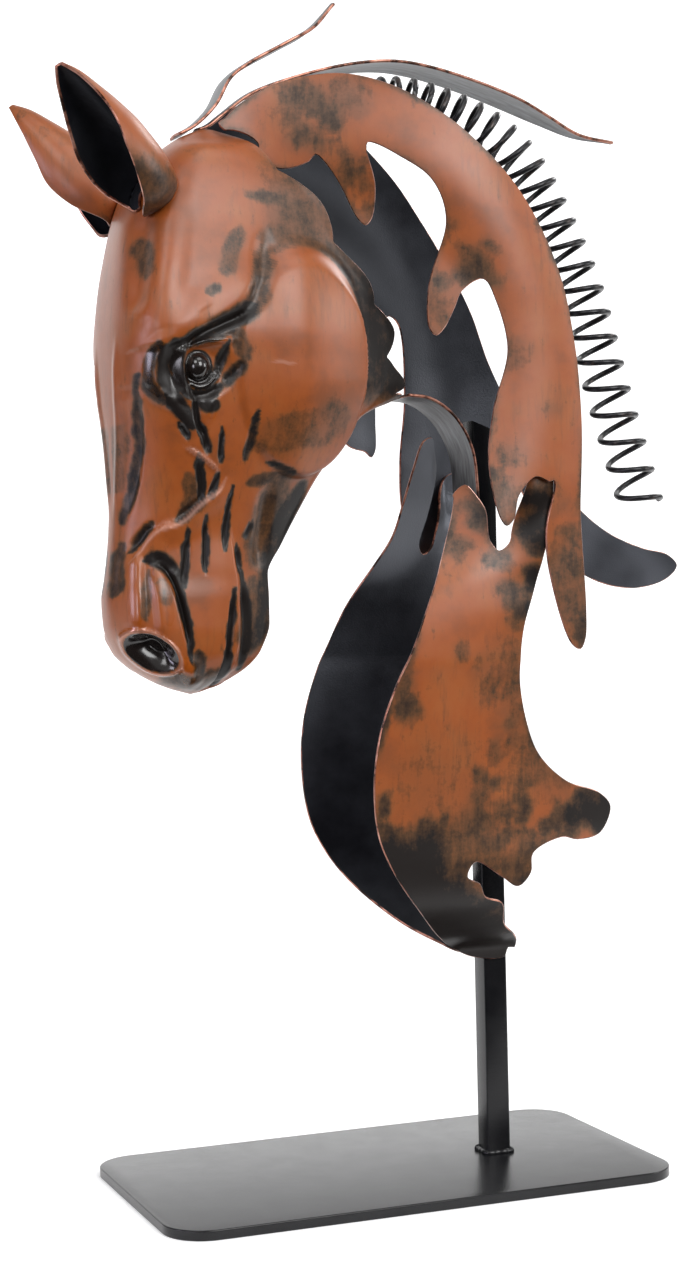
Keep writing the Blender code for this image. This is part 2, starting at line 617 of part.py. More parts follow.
throat_line = [(14.6, 313.2), (24, 312), (33, 306.5), (39, 299), (42.8, 290), (44.3, 276),
               (44.6, 262)]
CREST_ROOT_X, CREST_SEAT_X, FORELOCK_ROOT_X = -68, -69.3, -76.5
CREST_LIFT, FORELOCK_LIFT = 0.5, 0.4
crest_line = [(CREST_ROOT_X, head_top(CREST_SEAT_X) + CREST_LIFT), (-64, 417.6), (-58.5, 421.8),
              (-46, 431), (-22, 440), (-2, 444.6), (14, 446), (28, 444.6), (48, 440), (67, 434),
              (83, 427.5), (97, 422), (114, 419.6)]
forelock_line = [(FORELOCK_ROOT_X, head_top(FORELOCK_ROOT_X) + FORELOCK_LIFT), (-70.5, 416.8),
                 (-62, 425), (-55.5, 436), (-47, 442.5), (-31, 451.5), (-20, 458), (-9.9, 468.5)]
add_node("throat_strip", *thicken(*band(throat_line, lambda run: THROAT_HALF_WIDTH, 1), STRIP_SHEET),
         GREY_BROWN)
add_node("crest_strip", *thicken(*band(crest_line, leaf(0.4, CREST_HALF_WIDTH, 0.15), 1), STRIP_SHEET),
         GREY_BROWN)
add_node("forelock_strip",
         *thicken(*band(forelock_line, leaf(0.9, FORELOCK_HALF_WIDTH, 0.3), 1), STRIP_SHEET),
         GREY_BROWN)
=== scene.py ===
# %% [markdown]
# # A horse's head in bent sheet metal
#
# The real object is a table sculpture. A horse's head is pressed from one sheet, its neck is two
# cut sheets with hanging locks, its chest is two more, and a stretched coil spring makes the mane.
# A square post on a flat base plate carries it all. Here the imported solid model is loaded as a
# frame, and each piece is built again beside it with its fine shape and its finish.

# %% Load the solid model
import math

import bmesh
import bpy
import numpy as np
from mathutils import Matrix, Vector, noise
from mathutils.bvhtree import BVHTree
from mathutils.geometry import delaunay_2d_cdt


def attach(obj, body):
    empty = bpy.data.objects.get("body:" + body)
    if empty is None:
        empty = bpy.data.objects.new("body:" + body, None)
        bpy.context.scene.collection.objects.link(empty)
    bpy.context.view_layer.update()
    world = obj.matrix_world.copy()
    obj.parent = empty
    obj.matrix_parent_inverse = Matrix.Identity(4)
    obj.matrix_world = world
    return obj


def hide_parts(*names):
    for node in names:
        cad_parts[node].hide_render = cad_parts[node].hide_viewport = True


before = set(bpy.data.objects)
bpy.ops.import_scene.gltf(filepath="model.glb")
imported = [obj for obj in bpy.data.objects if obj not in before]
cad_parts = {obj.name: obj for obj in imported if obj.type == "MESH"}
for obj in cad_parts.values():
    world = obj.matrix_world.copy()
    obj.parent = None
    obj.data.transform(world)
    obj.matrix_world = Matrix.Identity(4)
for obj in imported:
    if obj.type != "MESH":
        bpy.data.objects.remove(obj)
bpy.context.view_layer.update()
MM = 0.001
SHEET = 1.2 * MM
print("solid nodes:", sorted(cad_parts))

# %% [markdown]
# ## Camera
#
# The viewpoint was solved beforehand: the base plate is a rectangle of known size, so its four top
# corners and the upright post fix where a camera must stand to see them as they are seen here. The
# three small angles are a turn about the vertical, a slight look down and a slight roll.

# %% Camera
PICTURE_HEIGHT, FOCAL_PIXELS = 1275, 2284.36
SENSOR_SIZE = 36
CAMERA_PLACE = (-0.3382, -0.8506, 0.2411)
CAMERA_TURN, CAMERA_DOWN, CAMERA_ROLL = -20.936, 1.5225, -1.3718


def add_object(name, data):
    thing = bpy.data.objects.new(name, data)
    bpy.context.scene.collection.objects.link(thing)
    return thing


def turned_by(degrees, axis):
    return Matrix.Rotation(math.radians(degrees), 4, axis)


camera_data = bpy.data.cameras.new("camera")
camera_data.sensor_width = SENSOR_SIZE
camera_data.lens = FOCAL_PIXELS / PICTURE_HEIGHT * SENSOR_SIZE
camera_data.clip_start = 0.05
camera = add_object("camera", camera_data)
camera_turn = turned_by(CAMERA_TURN, "Z") @ turned_by(90 - CAMERA_DOWN, "X") @ turned_by(CAMERA_ROLL, "Z")
camera.matrix_world = Matrix.Translation(CAMERA_PLACE) @ camera_turn
bpy.context.scene.camera = camera
print("lens in mm:", round(camera_data.lens, 2))

# %% [markdown]
# ## Room and light
#
# Lacquered metal shows its colour where it mirrors something dark, and turns pale where it mirrors
# something bright. So the light is planned by what each face mirrors. Pale paper lies under the
# statue and runs up the back wall. Toward the viewer it ends along a slanted line, as a table's edge
# would, and beyond that the faces mirror the dim lower half of the room and stay deep orange. The
# apron in front only carries the floor on for the eye and is left out of the mirrored picture. A
# dark flag on the left keeps the bridge of the nose deep. Soft lamps stand in front and to the right
# for the sheen on the neck and the cheek, two slim cool ones on the left for the folds round the
# eye, and three behind and above for the rims and the inner faces.

# %% Floor and back wall in one sweep
def plain_material(name, grey, roughness, glow):
    material = bpy.data.materials.new(name)
    material.use_nodes = True
    inputs = material.node_tree.nodes["Principled BSDF"].inputs
    inputs["Base Color"].default_value = (grey, grey, grey, 1)
    inputs["Roughness"].default_value = roughness
    inputs["Emission Color"].default_value = (grey, grey, grey, 1)
    inputs["Emission Strength"].default_value = glow
    return material


def mesh_object(name, verts, faces, materials):
    mesh = bpy.data.meshes.new(name)
    mesh.from_pydata([tuple(v) for v in verts], [], [tuple(f) for f in faces])
    mesh.update()
    for material in materials:
        mesh.materials.append(material)
    return add_object(name, mesh)


TABLE_LEFT, TABLE_RIGHT = (-2.4, 0.55), (6, -1.9)
SWEEP_START, SWEEP_RADIUS, SWEEP_STEPS, WALL_TOP = 2.4, 0.9, 12, 4.5
APRON_SIDE, APRON_FRONT = 6, -8
floor_paper = plain_material("floor_paper", 0.9, 0.7, 0.32)
wall_paper = plain_material("wall_paper", 0.9, 0.7, 0.75)
sweep_line = []
for step in range(SWEEP_STEPS + 1):
    turn = math.radians(90 * step / SWEEP_STEPS)
    sweep_line.append((SWEEP_START + SWEEP_RADIUS * math.sin(turn), SWEEP_RADIUS * (1 - math.cos(turn))))
sweep_line.append((SWEEP_START + SWEEP_RADIUS, WALL_TOP))
sweep_verts = [(*TABLE_LEFT, 0.0), (*TABLE_RIGHT, 0.0)]
sweep_verts += [(x, y, z) for y, z in sweep_line for x in (TABLE_LEFT[0], TABLE_RIGHT[0])]
sweep_faces = [(2 * i, 2 * i + 1, 2 * i + 3, 2 * i + 2) for i in range(len(sweep_line))]
sweep = mesh_object("floor_sweep", sweep_verts, sweep_faces, [floor_paper, wall_paper])
sweep.data.polygons.foreach_set("material_index", [0] + [1] * (len(sweep_faces) - 1))
sweep.data.shade_smooth()
apron_verts = [(-APRON_SIDE, APRON_FRONT, 0), (APRON_SIDE, APRON_FRONT, 0), (*TABLE_RIGHT, 0),
               (*TABLE_LEFT, 0), (-APRON_SIDE, TABLE_LEFT[1], 0)]
apron = mesh_object("floor_apron", apron_verts, [(0, 1, 2, 3, 4)], [floor_paper])
apron.visible_glossy = False
apron.visible_diffuse = False

# %% A dark flag on the left, out of the picture
FLAG_LINE, FLAG_TALL = [(-2.4, -1.6), (-2.4, 2.4), (-1.35, 3.0)], 2.2
flag_cloth = plain_material("flag_cloth", 0.02, 0.9, 0.0)
flag_verts = [(x, y, z) for x, y in FLAG_LINE for z in (0.0, FLAG_TALL)]
flag = mesh_object("flag", flag_verts, [(0, 2, 3, 1), (2, 4, 5, 3)], [flag_cloth])
flag.visible_camera = False

# %% Lamps
LAMP_AIM = Vector((0, 0, 0.27))


def soft_lamp(name, azimuth, height, distance, width, tall, brightness, colour=(1, 1, 1)):
    """A rectangle of light around the statue. Azimuth 0 is the viewer's side, 90 the right."""
    turn, rise = math.radians(azimuth), math.radians(height)
    way = Vector((math.sin(turn) * math.cos(rise), -math.cos(turn) * math.cos(rise), math.sin(rise)))
    light = bpy.data.lights.new(name, "AREA")
    light.shape = "RECTANGLE"
    light.size = width
    light.size_y = tall
    light.energy = brightness * math.pi * width * tall
    light.color = colour
    lamp = add_object(name, light)
    lamp.location = LAMP_AIM + way * distance
    lamp.rotation_euler = (-way).to_track_quat("-Z", "Y").to_euler()


soft_lamp("lamp_front", 10, 24, 2.2, 1.0, 1.1, 8.2)
soft_lamp("lamp_right", 60, 12, 2.2, 0.7, 0.8, 6.5)
soft_lamp("lamp_left", -88, 5, 2.0, 0.40, 0.7, 9.0, (0.84, 0.80, 1.0))
soft_lamp("lamp_near_left", -60, 3, 2.1, 0.40, 0.7, 8.0, (0.93, 0.90, 1.0))
soft_lamp("lamp_high", -42, 38, 1.9, 0.6, 0.6, 6.0)
soft_lamp("lamp_back", -150, 25, 2.2, 1.2, 1.0, 1.0)
soft_lamp("lamp_back_right", 114, 34, 2.0, 0.6, 0.6, 9.0)
soft_lamp("lamp_above", 14, 64, 1.8, 1.1, 0.7, 2.6)

# %% Sky, white above the horizon and dim below it
world = bpy.data.worlds.new("sky")
bpy.context.scene.world = world
world.use_nodes = True
sky_nodes, sky_links = world.node_tree.nodes, world.node_tree.links
direction = sky_nodes.new("ShaderNodeTexCoord")
height = sky_nodes.new("ShaderNodeSeparateXYZ")
shift = sky_nodes.new("ShaderNodeMapRange")
shift.inputs["From Min"].default_value = -1
fade = sky_nodes.new("ShaderNodeValToRGB")
for stop, position, bright in zip(fade.color_ramp.elements, (0.47, 0.56), (0.03, 0.42)):
    stop.position = position
    stop.color = (bright, bright, bright, 1)
sky_links.new(direction.outputs["Generated"], height.inputs[0])
sky_links.new(height.outputs["Z"], shift.inputs["Value"])
sky_links.new(shift.outputs["Result"], fade.inputs["Fac"])
sky_links.new(fade.outputs["Color"], sky_nodes["Background"].inputs["Color"])
bpy.context.scene.view_settings.view_transform = "Standard"

# %% [markdown]
# ## Finishes
#
# The outer faces are steel with a brushed copper-orange lacquer, dabbed with black that stays in
# the hollows and wears off the high places. The inner faces are black coat with a fine orange-peel
# skin. Every cut edge is rubbed back to a rosy copper line. Each finish is a small tree of nodes
# that reads the object's own position in space, so the stains lie across a piece as if dabbed on.
# Four mesh attributes tell a finish where to change. One marks black: where it was blackened on
# purpose, and where the same black is painted shade, behind the cheek, at the ears' feet, under the
# lower lid, by the neck's lock and on the lower and rear parts of the sheets and the jaw. One marks
# where the lacquer lies thick and shiny. One marks where it is worn to bare metal, which on the veins
# and the nostril's rim also paints their highlight. And one marks where the black coat inside
# reflects more.

# %% Helpers to write a node tree
class Finish:
    def __init__(self, name):
        self.material = bpy.data.materials.new(name)
        self.material.use_nodes = True
        self.tree = self.material.node_tree
        self.shader = self.tree.nodes["Principled BSDF"]
        self.place = self.tree.nodes.new("ShaderNodeTexCoord").outputs["Object"]

    def put(self, slot, value):
        """A plain value or colour is set on the slot, anything else is linked to it."""
        if isinstance(value, tuple):
            slot.default_value = (*value, 1)[:len(slot.default_value)]
        elif isinstance(value, (int, float)):
            slot.default_value = value
        else:
            self.tree.links.new(value, slot)

    def fill(self, node, **values):
        for name, value in values.items():
            self.put(node.inputs[name.replace("_", " ")], value)

    def node(self, kind, **values):
        node = self.tree.nodes.new("ShaderNode" + kind)
        self.fill(node, **values)
        return node

    def noise(self, scale, detail=4, rough=0.55, distort=0.0, stretch=None):
        place = self.place
        if stretch:
            place = self.node("Mapping", Vector=place, Scale=stretch).outputs["Vector"]
        return self.node("TexNoise", Vector=place, Scale=scale, Detail=detail, Roughness=rough,
                         Distortion=distort).outputs["Fac"]

    def ramp(self, value, *stops):
        node = self.node("ValToRGB", Fac=value)
        elements = node.color_ramp.elements
        while len(elements) < len(stops):
            elements.new(0.5)
        for element, (at, colour) in zip(elements, stops):
            element.position = at
            element.color = (*colour, 1) if isinstance(colour, tuple) else (colour,) * 3 + (1,)
        return node.outputs["Color"]

    def math(self, kind, a, b):
        node = self.tree.nodes.new("ShaderNodeMath")
        node.operation = kind
        self.put(node.inputs[0], a)
        self.put(node.inputs[1], b)
        return node.outputs["Value"]

    def add(self, a, b):
        return self.math("ADD", a, b)

    def less(self, a, b):
        return self.math("SUBTRACT", a, b)

    def times(self, a, b):
        return self.math("MULTIPLY", a, b)

    def mix(self, share, a, b):
        node = self.tree.nodes.new("ShaderNodeMix")
        node.data_type = "RGBA"
        for slot, value in zip((0, 6, 7), (share, a, b)):
            self.put(node.inputs[slot], value)
        return node.outputs[2]

    def mark(self, name):
        node = self.tree.nodes.new("ShaderNodeAttribute")
        node.attribute_name = name
        return node.outputs["Fac"]

    def bump(self, height, distance, strength=1.0):
        node = self.node("Bump", Distance=distance, Strength=strength, Height=height)
        self.put(self.shader.inputs["Normal"], node.outputs["Normal"])

    def set(self, **values):
        self.fill(self.shader, **values)


# %% Copper lacquer with black dabbed on and painted shade
LACQUER_DEEP, LACQUER, LACQUER_PALE = (0.215, 0.052, 0.008), (0.305, 0.067, 0.007), (0.320, 0.084, 0.014)
# browns and black of the dark mark: black dabbed on, and in places painted shade
BRUSHED_BROWN, DIRT_AND_SHADE_BROWN, SMOKE_AND_SHADE_BROWN = (0.12, 0.04, 0.012), (0.105, 0.047, 0.014), (0.07, 0.03, 0.01)
SOOT_AND_SHADE_BLACK, BARE_COPPER_AND_HIGHLIGHT = (0.011, 0.008, 0.007), (0.50, 0.25, 0.18)


def copper_finish(name):
    f = Finish(name)
    cloud, blots, grain = f.noise(40, 3, 0.55, 0.3), f.noise(170, 4, 0.65), f.noise(800, 3, 0.7)
    brushed = f.noise(420, 3, 0.65, 0.0, (1.0, 1.0, 0.14))
    soot_and_shade, gloss, rubbed_and_highlight = (f.mark(kind) for kind in ("soot_and_shade", "gloss", "rubbed_and_highlight"))
    centred = lambda value, amount: f.times(f.less(value, 0.5), amount)
    tone = f.ramp(f.add(cloud, centred(blots, 0.4)), (0.30, LACQUER_DEEP), (0.48, LACQUER),
                  (0.70, LACQUER_PALE))
    streaks = f.ramp(f.add(brushed, centred(cloud, 0.8)), (0.56, 0.0), (0.80, 1.0))
    tone = f.mix(f.times(streaks, 0.45), tone, BRUSHED_BROWN)
    broken = f.add(centred(blots, 1.1), f.add(centred(grain, 0.45), centred(brushed, 0.6)))
    # the dark mark turns the lacquer brown, then black: black dabbed on, and in places painted shade
    dark = f.ramp(f.add(soot_and_shade, broken), (0.16, 0.0), (0.96, 1.0))
    tone = f.mix(f.ramp(soot_and_shade, (0.0, 0.0), (0.55, 0.8)), tone, DIRT_AND_SHADE_BROWN)
    colour = f.mix(f.ramp(dark, (0.0, 0.0), (0.50, 1.0)), tone, SMOKE_AND_SHADE_BROWN)
    colour = f.mix(f.ramp(dark, (0.40, 0.0), (0.95, 1.0)), colour, SOOT_AND_SHADE_BLACK)
    shine, dull = f.times(gloss, 0.25), f.times(dark, f.less(1.0, gloss))
    # bare copper where rubbed; on the veins and the nostril's rim it also paints their highlight
    f.set(Base_Color=f.mix(rubbed_and_highlight, colour, BARE_COPPER_AND_HIGHLIGHT), Metallic=f.times(rubbed_and_highlight, 0.5),
          Specular_IOR_Level=f.less(0.46, f.times(dull, 0.2)),
          Coat_Weight=f.less(0.45, f.times(dull, 0.3)), Coat_Roughness=f.less(0.36, shine),
          Roughness=f.less(f.add(f.times(grain, 0.12), 0.36), shine))
    f.bump(f.times(f.add(f.times(brushed, 0.7), cloud), f.less(1.0, gloss)), 0.00006)
    return f


copper = copper_finish("copper_lacquer")

# %% Black coat, rubbed edge, heat-darkened strip, wire and stand
black = Finish("black_coat")
haze = black.noise(45, 4, 0.6)
black.set(Base_Color=black.ramp(haze, (0.35, (0.007, 0.007, 0.009)), (0.7, (0.019, 0.020, 0.024))),
          Roughness=black.add(black.times(haze, 0.16), 0.30), Metallic=0.0,
          Specular_IOR_Level=black.add(black.times(black.mark("sheen"), 0.75), 0.22),
          Specular_Tint=(0.84, 0.88, 1.0))
black.bump(black.noise(1500, 2, 0.5), 0.0001, 0.7)

edge = Finish("rubbed_copper_edge")
edge.set(Base_Color=edge.ramp(edge.noise(160, 4, 0.65), (0.40, (0.050, 0.022, 0.015)),
                              (0.50, (0.36, 0.15, 0.10)), (0.72, (0.62, 0.33, 0.25))),
         Metallic=0.7, Roughness=0.32)
edge.bump(edge.noise(700, 2), 0.00008, 0.5)

strip_steel = Finish("heat_darkened_steel")
drawn = strip_steel.noise(90, 4, 0.6, 0.0, (1.0, 6.0, 1.0))
strip_steel.set(Base_Color=strip_steel.ramp(drawn, (0.30, (0.050, 0.049, 0.052)),
                                            (0.55, (0.138, 0.142, 0.147)), (0.8, (0.24, 0.25, 0.26))),
                Metallic=0.65, Roughness=strip_steel.add(strip_steel.times(drawn, 0.25), 0.26))
strip_steel.bump(strip_steel.noise(500, 3), 0.00008, 0.5)

wire = Finish("black_wire")
wire.set(Base_Color=wire.ramp(wire.noise(240, 4, 0.7), (0.55, (0.010, 0.010, 0.012)),
                              (0.78, (0.075, 0.050, 0.040))), Roughness=0.28, Metallic=0.3)
wire.bump(wire.noise(900, 2), 0.00006, 0.5)

stand_black = Finish("stand_black")
dust = stand_black.noise(70, 5, 0.65)
stand_black.set(Base_Color=stand_black.ramp(dust, (0.35, (0.003, 0.003, 0.004)),
                                            (0.75, (0.009, 0.009, 0.010))),
                Roughness=stand_black.add(stand_black.times(dust, 0.12), 0.17),
                Metallic=0.0, Specular_IOR_Level=0.36)
stand_black.bump(stand_black.noise(1200, 2), 0.00008, 0.5)
print("finishes:", [m.name for m in bpy.data.materials])

# %% [markdown]
# ## Cutting and bending a sheet
#
# Each plate starts as a flat outline. A cutter's drawing would give the tips of the locks, the
# bottoms of the notches between them and a few points on the long edges, so that is what is written
# down here. A smooth curve runs through them. The inside is filled with even triangles, and a
# function then bends the flat sheet to its distance from the middle of the neck. The same function
# could be drawn by hand with sculpting tools, but a function keeps left and right in step.

# %% Curves and outlines
def smooth(share):
    t = np.clip(share, 0.0, 1.0)
    return t * t * (3.0 - 2.0 * t)


def along(stations, column, at):
    """Smooth reading of one column of a station list, without overshoot."""
    keys = np.array([s[0] for s in stations], float)
    vals = np.array([s[column] for s in stations], float)
    steps = np.diff(keys)
    slopes = np.diff(vals) / steps
    tangents = np.concatenate([slopes[:1], np.zeros(len(keys) - 2), slopes[-1:]])
    for i in range(1, len(keys) - 1):
        if slopes[i - 1] * slopes[i] > 0:
            tangents[i] = 2.0 / (1.0 / slopes[i - 1] + 1.0 / slopes[i])
    at = np.clip(np.asarray(at, float), keys[0], keys[-1])
    i = np.clip(np.searchsorted(keys, at, side="right") - 1, 0, len(steps) - 1)
    t = (at - keys[i]) / steps[i]
    rise = vals[i] * (1 + 2 * t) * (1 - t) ** 2 + vals[i + 1] * t * t * (3 - 2 * t)
    return rise + steps[i] * t * (1 - t) * (tangents[i] * (1 - t) - tangents[i + 1] * t)


def curve_through(points, spacing, closed=False):
    """Even curve through a few points."""
    pts = [np.array(p, float) for p in points]
    before, after = (pts[-1:], pts[:2]) if closed else ([2 * pts[0] - pts[1]], [2 * pts[-1] - pts[-2]])
    pts = before + pts + after
    samples = []
    for p0, p1, p2, p3 in zip(pts, pts[1:], pts[2:], pts[3:]):
        knots = [0.0]
        for a, b in ((p0, p1), (p1, p2), (p2, p3)):
            knots.append(knots[-1] + max(np.linalg.norm(b - a), 1e-9) ** 0.5)
        t0, t1, t2, t3 = knots
        count = max(2, int(round(np.linalg.norm(p2 - p1) / spacing)))
        for k in range(count):
            t = t1 + (t2 - t1) * k / count
            a1 = (t1 - t) / (t1 - t0) * p0 + (t - t0) / (t1 - t0) * p1
            a2 = (t2 - t) / (t2 - t1) * p1 + (t - t1) / (t2 - t1) * p2
            a3 = (t3 - t) / (t3 - t2) * p2 + (t - t2) / (t3 - t2) * p3
            b1 = (t2 - t) / (t2 - t0) * a1 + (t - t0) / (t2 - t0) * a2
            b2 = (t3 - t) / (t3 - t1) * a2 + (t - t1) / (t3 - t1) * a3
            samples.append((t2 - t) / (t2 - t1) * b1 + (t - t1) / (t2 - t1) * b2)
    return np.array(samples if closed else samples + [pts[-2]])


def run_shares(line):
    """How far along a line each of its points lies, from 0 to 1."""
    runs = np.concatenate([[0], np.cumsum(np.linalg.norm(np.diff(line, axis=0), axis=1))])
    return runs / runs[-1]


def net(rows, size, ring=False, loop=False, turned=False):
    """Panels between rows of points. With ring each row closes on itself, with loop the last row
    meets the first."""
    panels = []
    for row in range(rows if loop else rows - 1):
        for k in range(size if ring else size - 1):
            a, b = row * size + k, row * size + (k + 1) % size
            c, d = (row + 1) % rows * size + k, (row + 1) % rows * size + (k + 1) % size
            panels.append((a, c, d, b) if turned else (a, b, d, c))
    return panels


def cut_outline(features, spacing):
    """Closed outline from points, tips and notches: (kind, x, z, way in degrees, radius)."""
    points = []
    for feature in features:
        if len(feature) == 2:
            points.append(np.array(feature, float))
            continue
        kind, x, z, angle, radius = feature
        way = np.array([math.cos(math.radians(angle)), math.sin(math.radians(angle))])
        side = np.array([-way[1], way[0]]) * (1 if kind == "tip" else -1)
        end = np.array([x, z], float)
        points += [end - radius * way + radius * side, end, end - radius * way - radius * side]
    return curve_through(points, spacing, closed=True) * MM


def inside(outline, spots):
    """Which of the spots lie within a closed outline."""
    hits = np.zeros(len(spots), bool)
    x, z = spots[:, 0], spots[:, 1]
    for (x1, z1), (x2, z2) in zip(outline, np.roll(outline, -1, axis=0)):
        if z1 != z2:
            crosses = (z1 > z) != (z2 > z)
            hits ^= crosses & (x < (x2 - x1) * (z - z1) / (z2 - z1) + x1)
    return hits


# %% Fill an outline with triangles and bend it
def edge_distance(outline, spots):
    """Distance from each spot to the nearest point of a closed outline."""
    best = np.full(len(spots), 1e9)
    for start in range(0, len(outline), 64):
        part = outline[start:start + 64]
        gaps = np.linalg.norm(spots[:, None, :] - part[None, :, :], axis=2).min(axis=1)
        best = np.minimum(best, gaps)
    return best


ROW_SHARE, CLEAR_SHARE = 0.866, 0.45


def bent_sheet(outline, stand_off, side, grid):
    """Triangles in staggered rows fill the outline, each point at its distance from the middle."""
    low, high = outline.min(axis=0), outline.max(axis=0)
    rows = []
    for r, z in enumerate(np.arange(low[1], high[1], grid * ROW_SHARE)):
        rows += [(x + (grid / 2 if r % 2 else 0), z) for x in np.arange(low[0], high[0], grid)]
    spots = np.array(rows)
    spots = spots[inside(outline, spots)]
    spots = spots[edge_distance(outline, spots) > grid * CLEAR_SHARE]
    rim = list(range(len(outline)))
    edges = [(i, (i + 1) % len(rim)) for i in rim]
    flat = [Vector(p) for p in np.vstack([outline, spots])]
    verts, _, faces, *_ = delaunay_2d_cdt(flat, edges, [rim], 1, 1e-7)
    solid = [Vector((v.x, side * stand_off(v.x, v.y), v.y)) for v in verts]
    turned = []
    for face in faces:
        a, b, c = (solid[i] for i in face[:3])
        outward = (b - a).cross(c - a).y * side > 0
        turned.append(tuple(face) if outward else tuple(reversed(face)))
    return solid, turned


# %% Give a skin its thickness, with a rounded rim
RIM_INSET = 0.32 * MM
RIM_STEPS = (0.0, 0.22, 0.5, 0.78, 1.0)


def corner_list(faces):
    """Faces of any size as an array, short ones filled up with their last corner."""
    size = max(len(f) for f in faces)
    return np.array([tuple(f) + (f[-1],) * (size - len(f)) for f in faces])


def point_normals(co, faces):
    """Direction away from the surface at each point."""
    corners = corner_list(faces)
    area = np.cross(co[corners[:, 1]] - co[corners[:, 0]], co[corners[:, -1]] - co[corners[:, 0]])
    normals = np.zeros_like(co)
    for k in range(corners.shape[1]):
        np.add.at(normals, corners[:, k], area)
    return normals / np.maximum(np.linalg.norm(normals, axis=1, keepdims=True), 1e-12)


def crisp_rim(piece):
    """Smooth shading stops where one finish meets another, so a face stays even up to its edge."""
    shape = bmesh.new()
    shape.from_mesh(piece.data)
    for line in shape.edges:
        line.smooth = len({face.material_index for face in line.link_faces}) == 1
    shape.to_mesh(piece.data)
    shape.free()


def thick_piece(name, verts, faces, finishes, inner_faces=None, inner_drop=0.0):
    """A skin, its inner copy and a rounded rim. finishes: outer face, inner face, rim. The inner
    copy may have wider panels and lie deeper by inner_drop."""
    co = np.array([tuple(v) for v in verts])
    normals = point_normals(co, faces)
    borders = {(i, j) for f in faces for i, j in zip(f, tuple(f[1:]) + (f[0],))}
    rim = [(i, j) for i, j in borders if (j, i) not in borders]
    outward = np.zeros_like(co)
    for i, j in rim:
        way = np.cross(co[j] - co[i], normals[i])
        way /= max(np.linalg.norm(way), 1e-12)
        outward[i] += way
        outward[j] += way
    lengths = np.linalg.norm(outward, axis=1)
    on_rim = lengths > 1e-9
    outward[on_rim] /= lengths[on_rim][:, None]
    depth = np.broadcast_to(SHEET + inner_drop, len(co))[:, None]
    rows = [co - outward * RIM_INSET, co - normals * depth - outward * RIM_INSET]
    rim_ids = sorted({i for pair in rim for i in pair})
    order = {v: k for k, v in enumerate(rim_ids)}
    for share in RIM_STEPS[1:-1]:
        bulge = 1 - (2 * share - 1) ** 2
        rows.append(co[rim_ids] - normals[rim_ids] * SHEET * share
                    - outward[rim_ids] * RIM_INSET * (1 - bulge))
    count, last = len(co), len(RIM_STEPS) - 1

    def on_ring(level, i):
        if level in (0, last):
            return i if level == 0 else i + count
        return 2 * count + (level - 1) * len(rim_ids) + order[i]

    inside_faces = inner_faces or faces
    panels = [tuple(f) for f in faces] + [tuple(i + count for i in reversed(f)) for f in inside_faces]
    look = [0] * len(faces) + [1] * len(inside_faces)
    for i, j in rim:
        for level in range(last):
            panels.append((on_ring(level, j), on_ring(level, i), on_ring(level + 1, i),
                           on_ring(level + 1, j)))
            look.append(2)
    used = np.unique(np.concatenate([np.array(p) for p in panels]))
    fresh = np.full(sum(len(r) for r in rows), -1)
    fresh[used] = np.arange(len(used))
    panels = [tuple(int(fresh[i]) for i in p) for p in panels]
    piece = mesh_object(name, np.vstack(rows)[used], panels, [f.material for f in finishes])
    piece.data.polygons.foreach_set("material_index", look)
    piece.data.shade_smooth()
    crisp_rim(piece)
    print(name, "triangles:", sum(len(p.vertices) - 2 for p in piece.data.polygons))
    return piece


def mark(piece, name, shares):
    """Write a value from 0 to 2 on the first vertices, for the finish to read."""
    layer = piece.data.attributes.new(name, "FLOAT", "POINT")
    values = np.zeros(len(piece.data.vertices), np.float32)
    values[:len(shares)] = np.clip(shares, 0, 2)
    layer.data.foreach_set("value", values)


def wander(x, z, size, amount, seed):
    """Slow waves that make the edge of a dab irregular."""
    return amount * np.array([noise.noise(Vector((a / size, seed, b / size))) for a, b in zip(x, z)])


def dabbed(x, z, dabs):
    """How black the dabs leave each place, all in millimetres."""
    result = np.zeros(len(x))
    x, z = x + wander(x, z, 9, 5, 1.7) + wander(x, z, 3, 1.5, 4.1), z + wander(x, z, 9, 5, 7.3)
    for dab_x, dab_z, radius, strength in dabs:
        gap = np.hypot(x - dab_x, z - dab_z) / radius
        result = np.maximum(result, strength * smooth(1.25 - gap))
    return result


def coords(piece):
    co = np.zeros(len(piece.data.vertices) * 3, np.float32)
    piece.data.vertices.foreach_get("co", co)
    return co.reshape(-1, 3)


def settle(piece, node):
    """The new piece stands for the solid of that name, which is hidden, and hangs under the root."""
    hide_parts(node)
    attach(piece, "root")
    return piece


# %% [markdown]
# ## Neck plates
#
# Two mirror-bent sheets make the neck. They start close together at the poll, where the neck is
# thin, and spread toward the shoulder. Both have locks of mane cut into their lower edge; the right
# one ends in a long lock that sweeps back. They are not quite flat, as hand-bent sheet never is:
# a little slow noise in the bend makes the reflections wander.

# %% Neck plates
NECK_FRONT_X, NECK_SPREAD_RUN = -65 * MM, 115 * MM
NECK_FRONT_HALF, NECK_BACK_HALF = 17.5 * MM, 44.5 * MM
NECK_ARC_X, NECK_ARC_Z, NECK_ARC_MID, NECK_ARC_REACH = -28 * MM, 318 * MM, 90 * MM, 26 * MM
NECK_DOME = 3.5 * MM


def neck_half(x, z):
    spread = NECK_FRONT_HALF + (NECK_BACK_HALF - NECK_FRONT_HALF) * smooth(
        (x - NECK_FRONT_X) / NECK_SPREAD_RUN)
    ring = math.hypot(x - NECK_ARC_X, z - NECK_ARC_Z)
    rise = max(0.0, 1.0 - ((ring - NECK_ARC_MID) / NECK_ARC_REACH) ** 2)
    return spread + NECK_DOME * rise * rise * smooth((x - NECK_FRONT_X) / (NECK_SPREAD_RUN / 2))


SLOW_WAVE, QUICK_WAVE = 26, 70


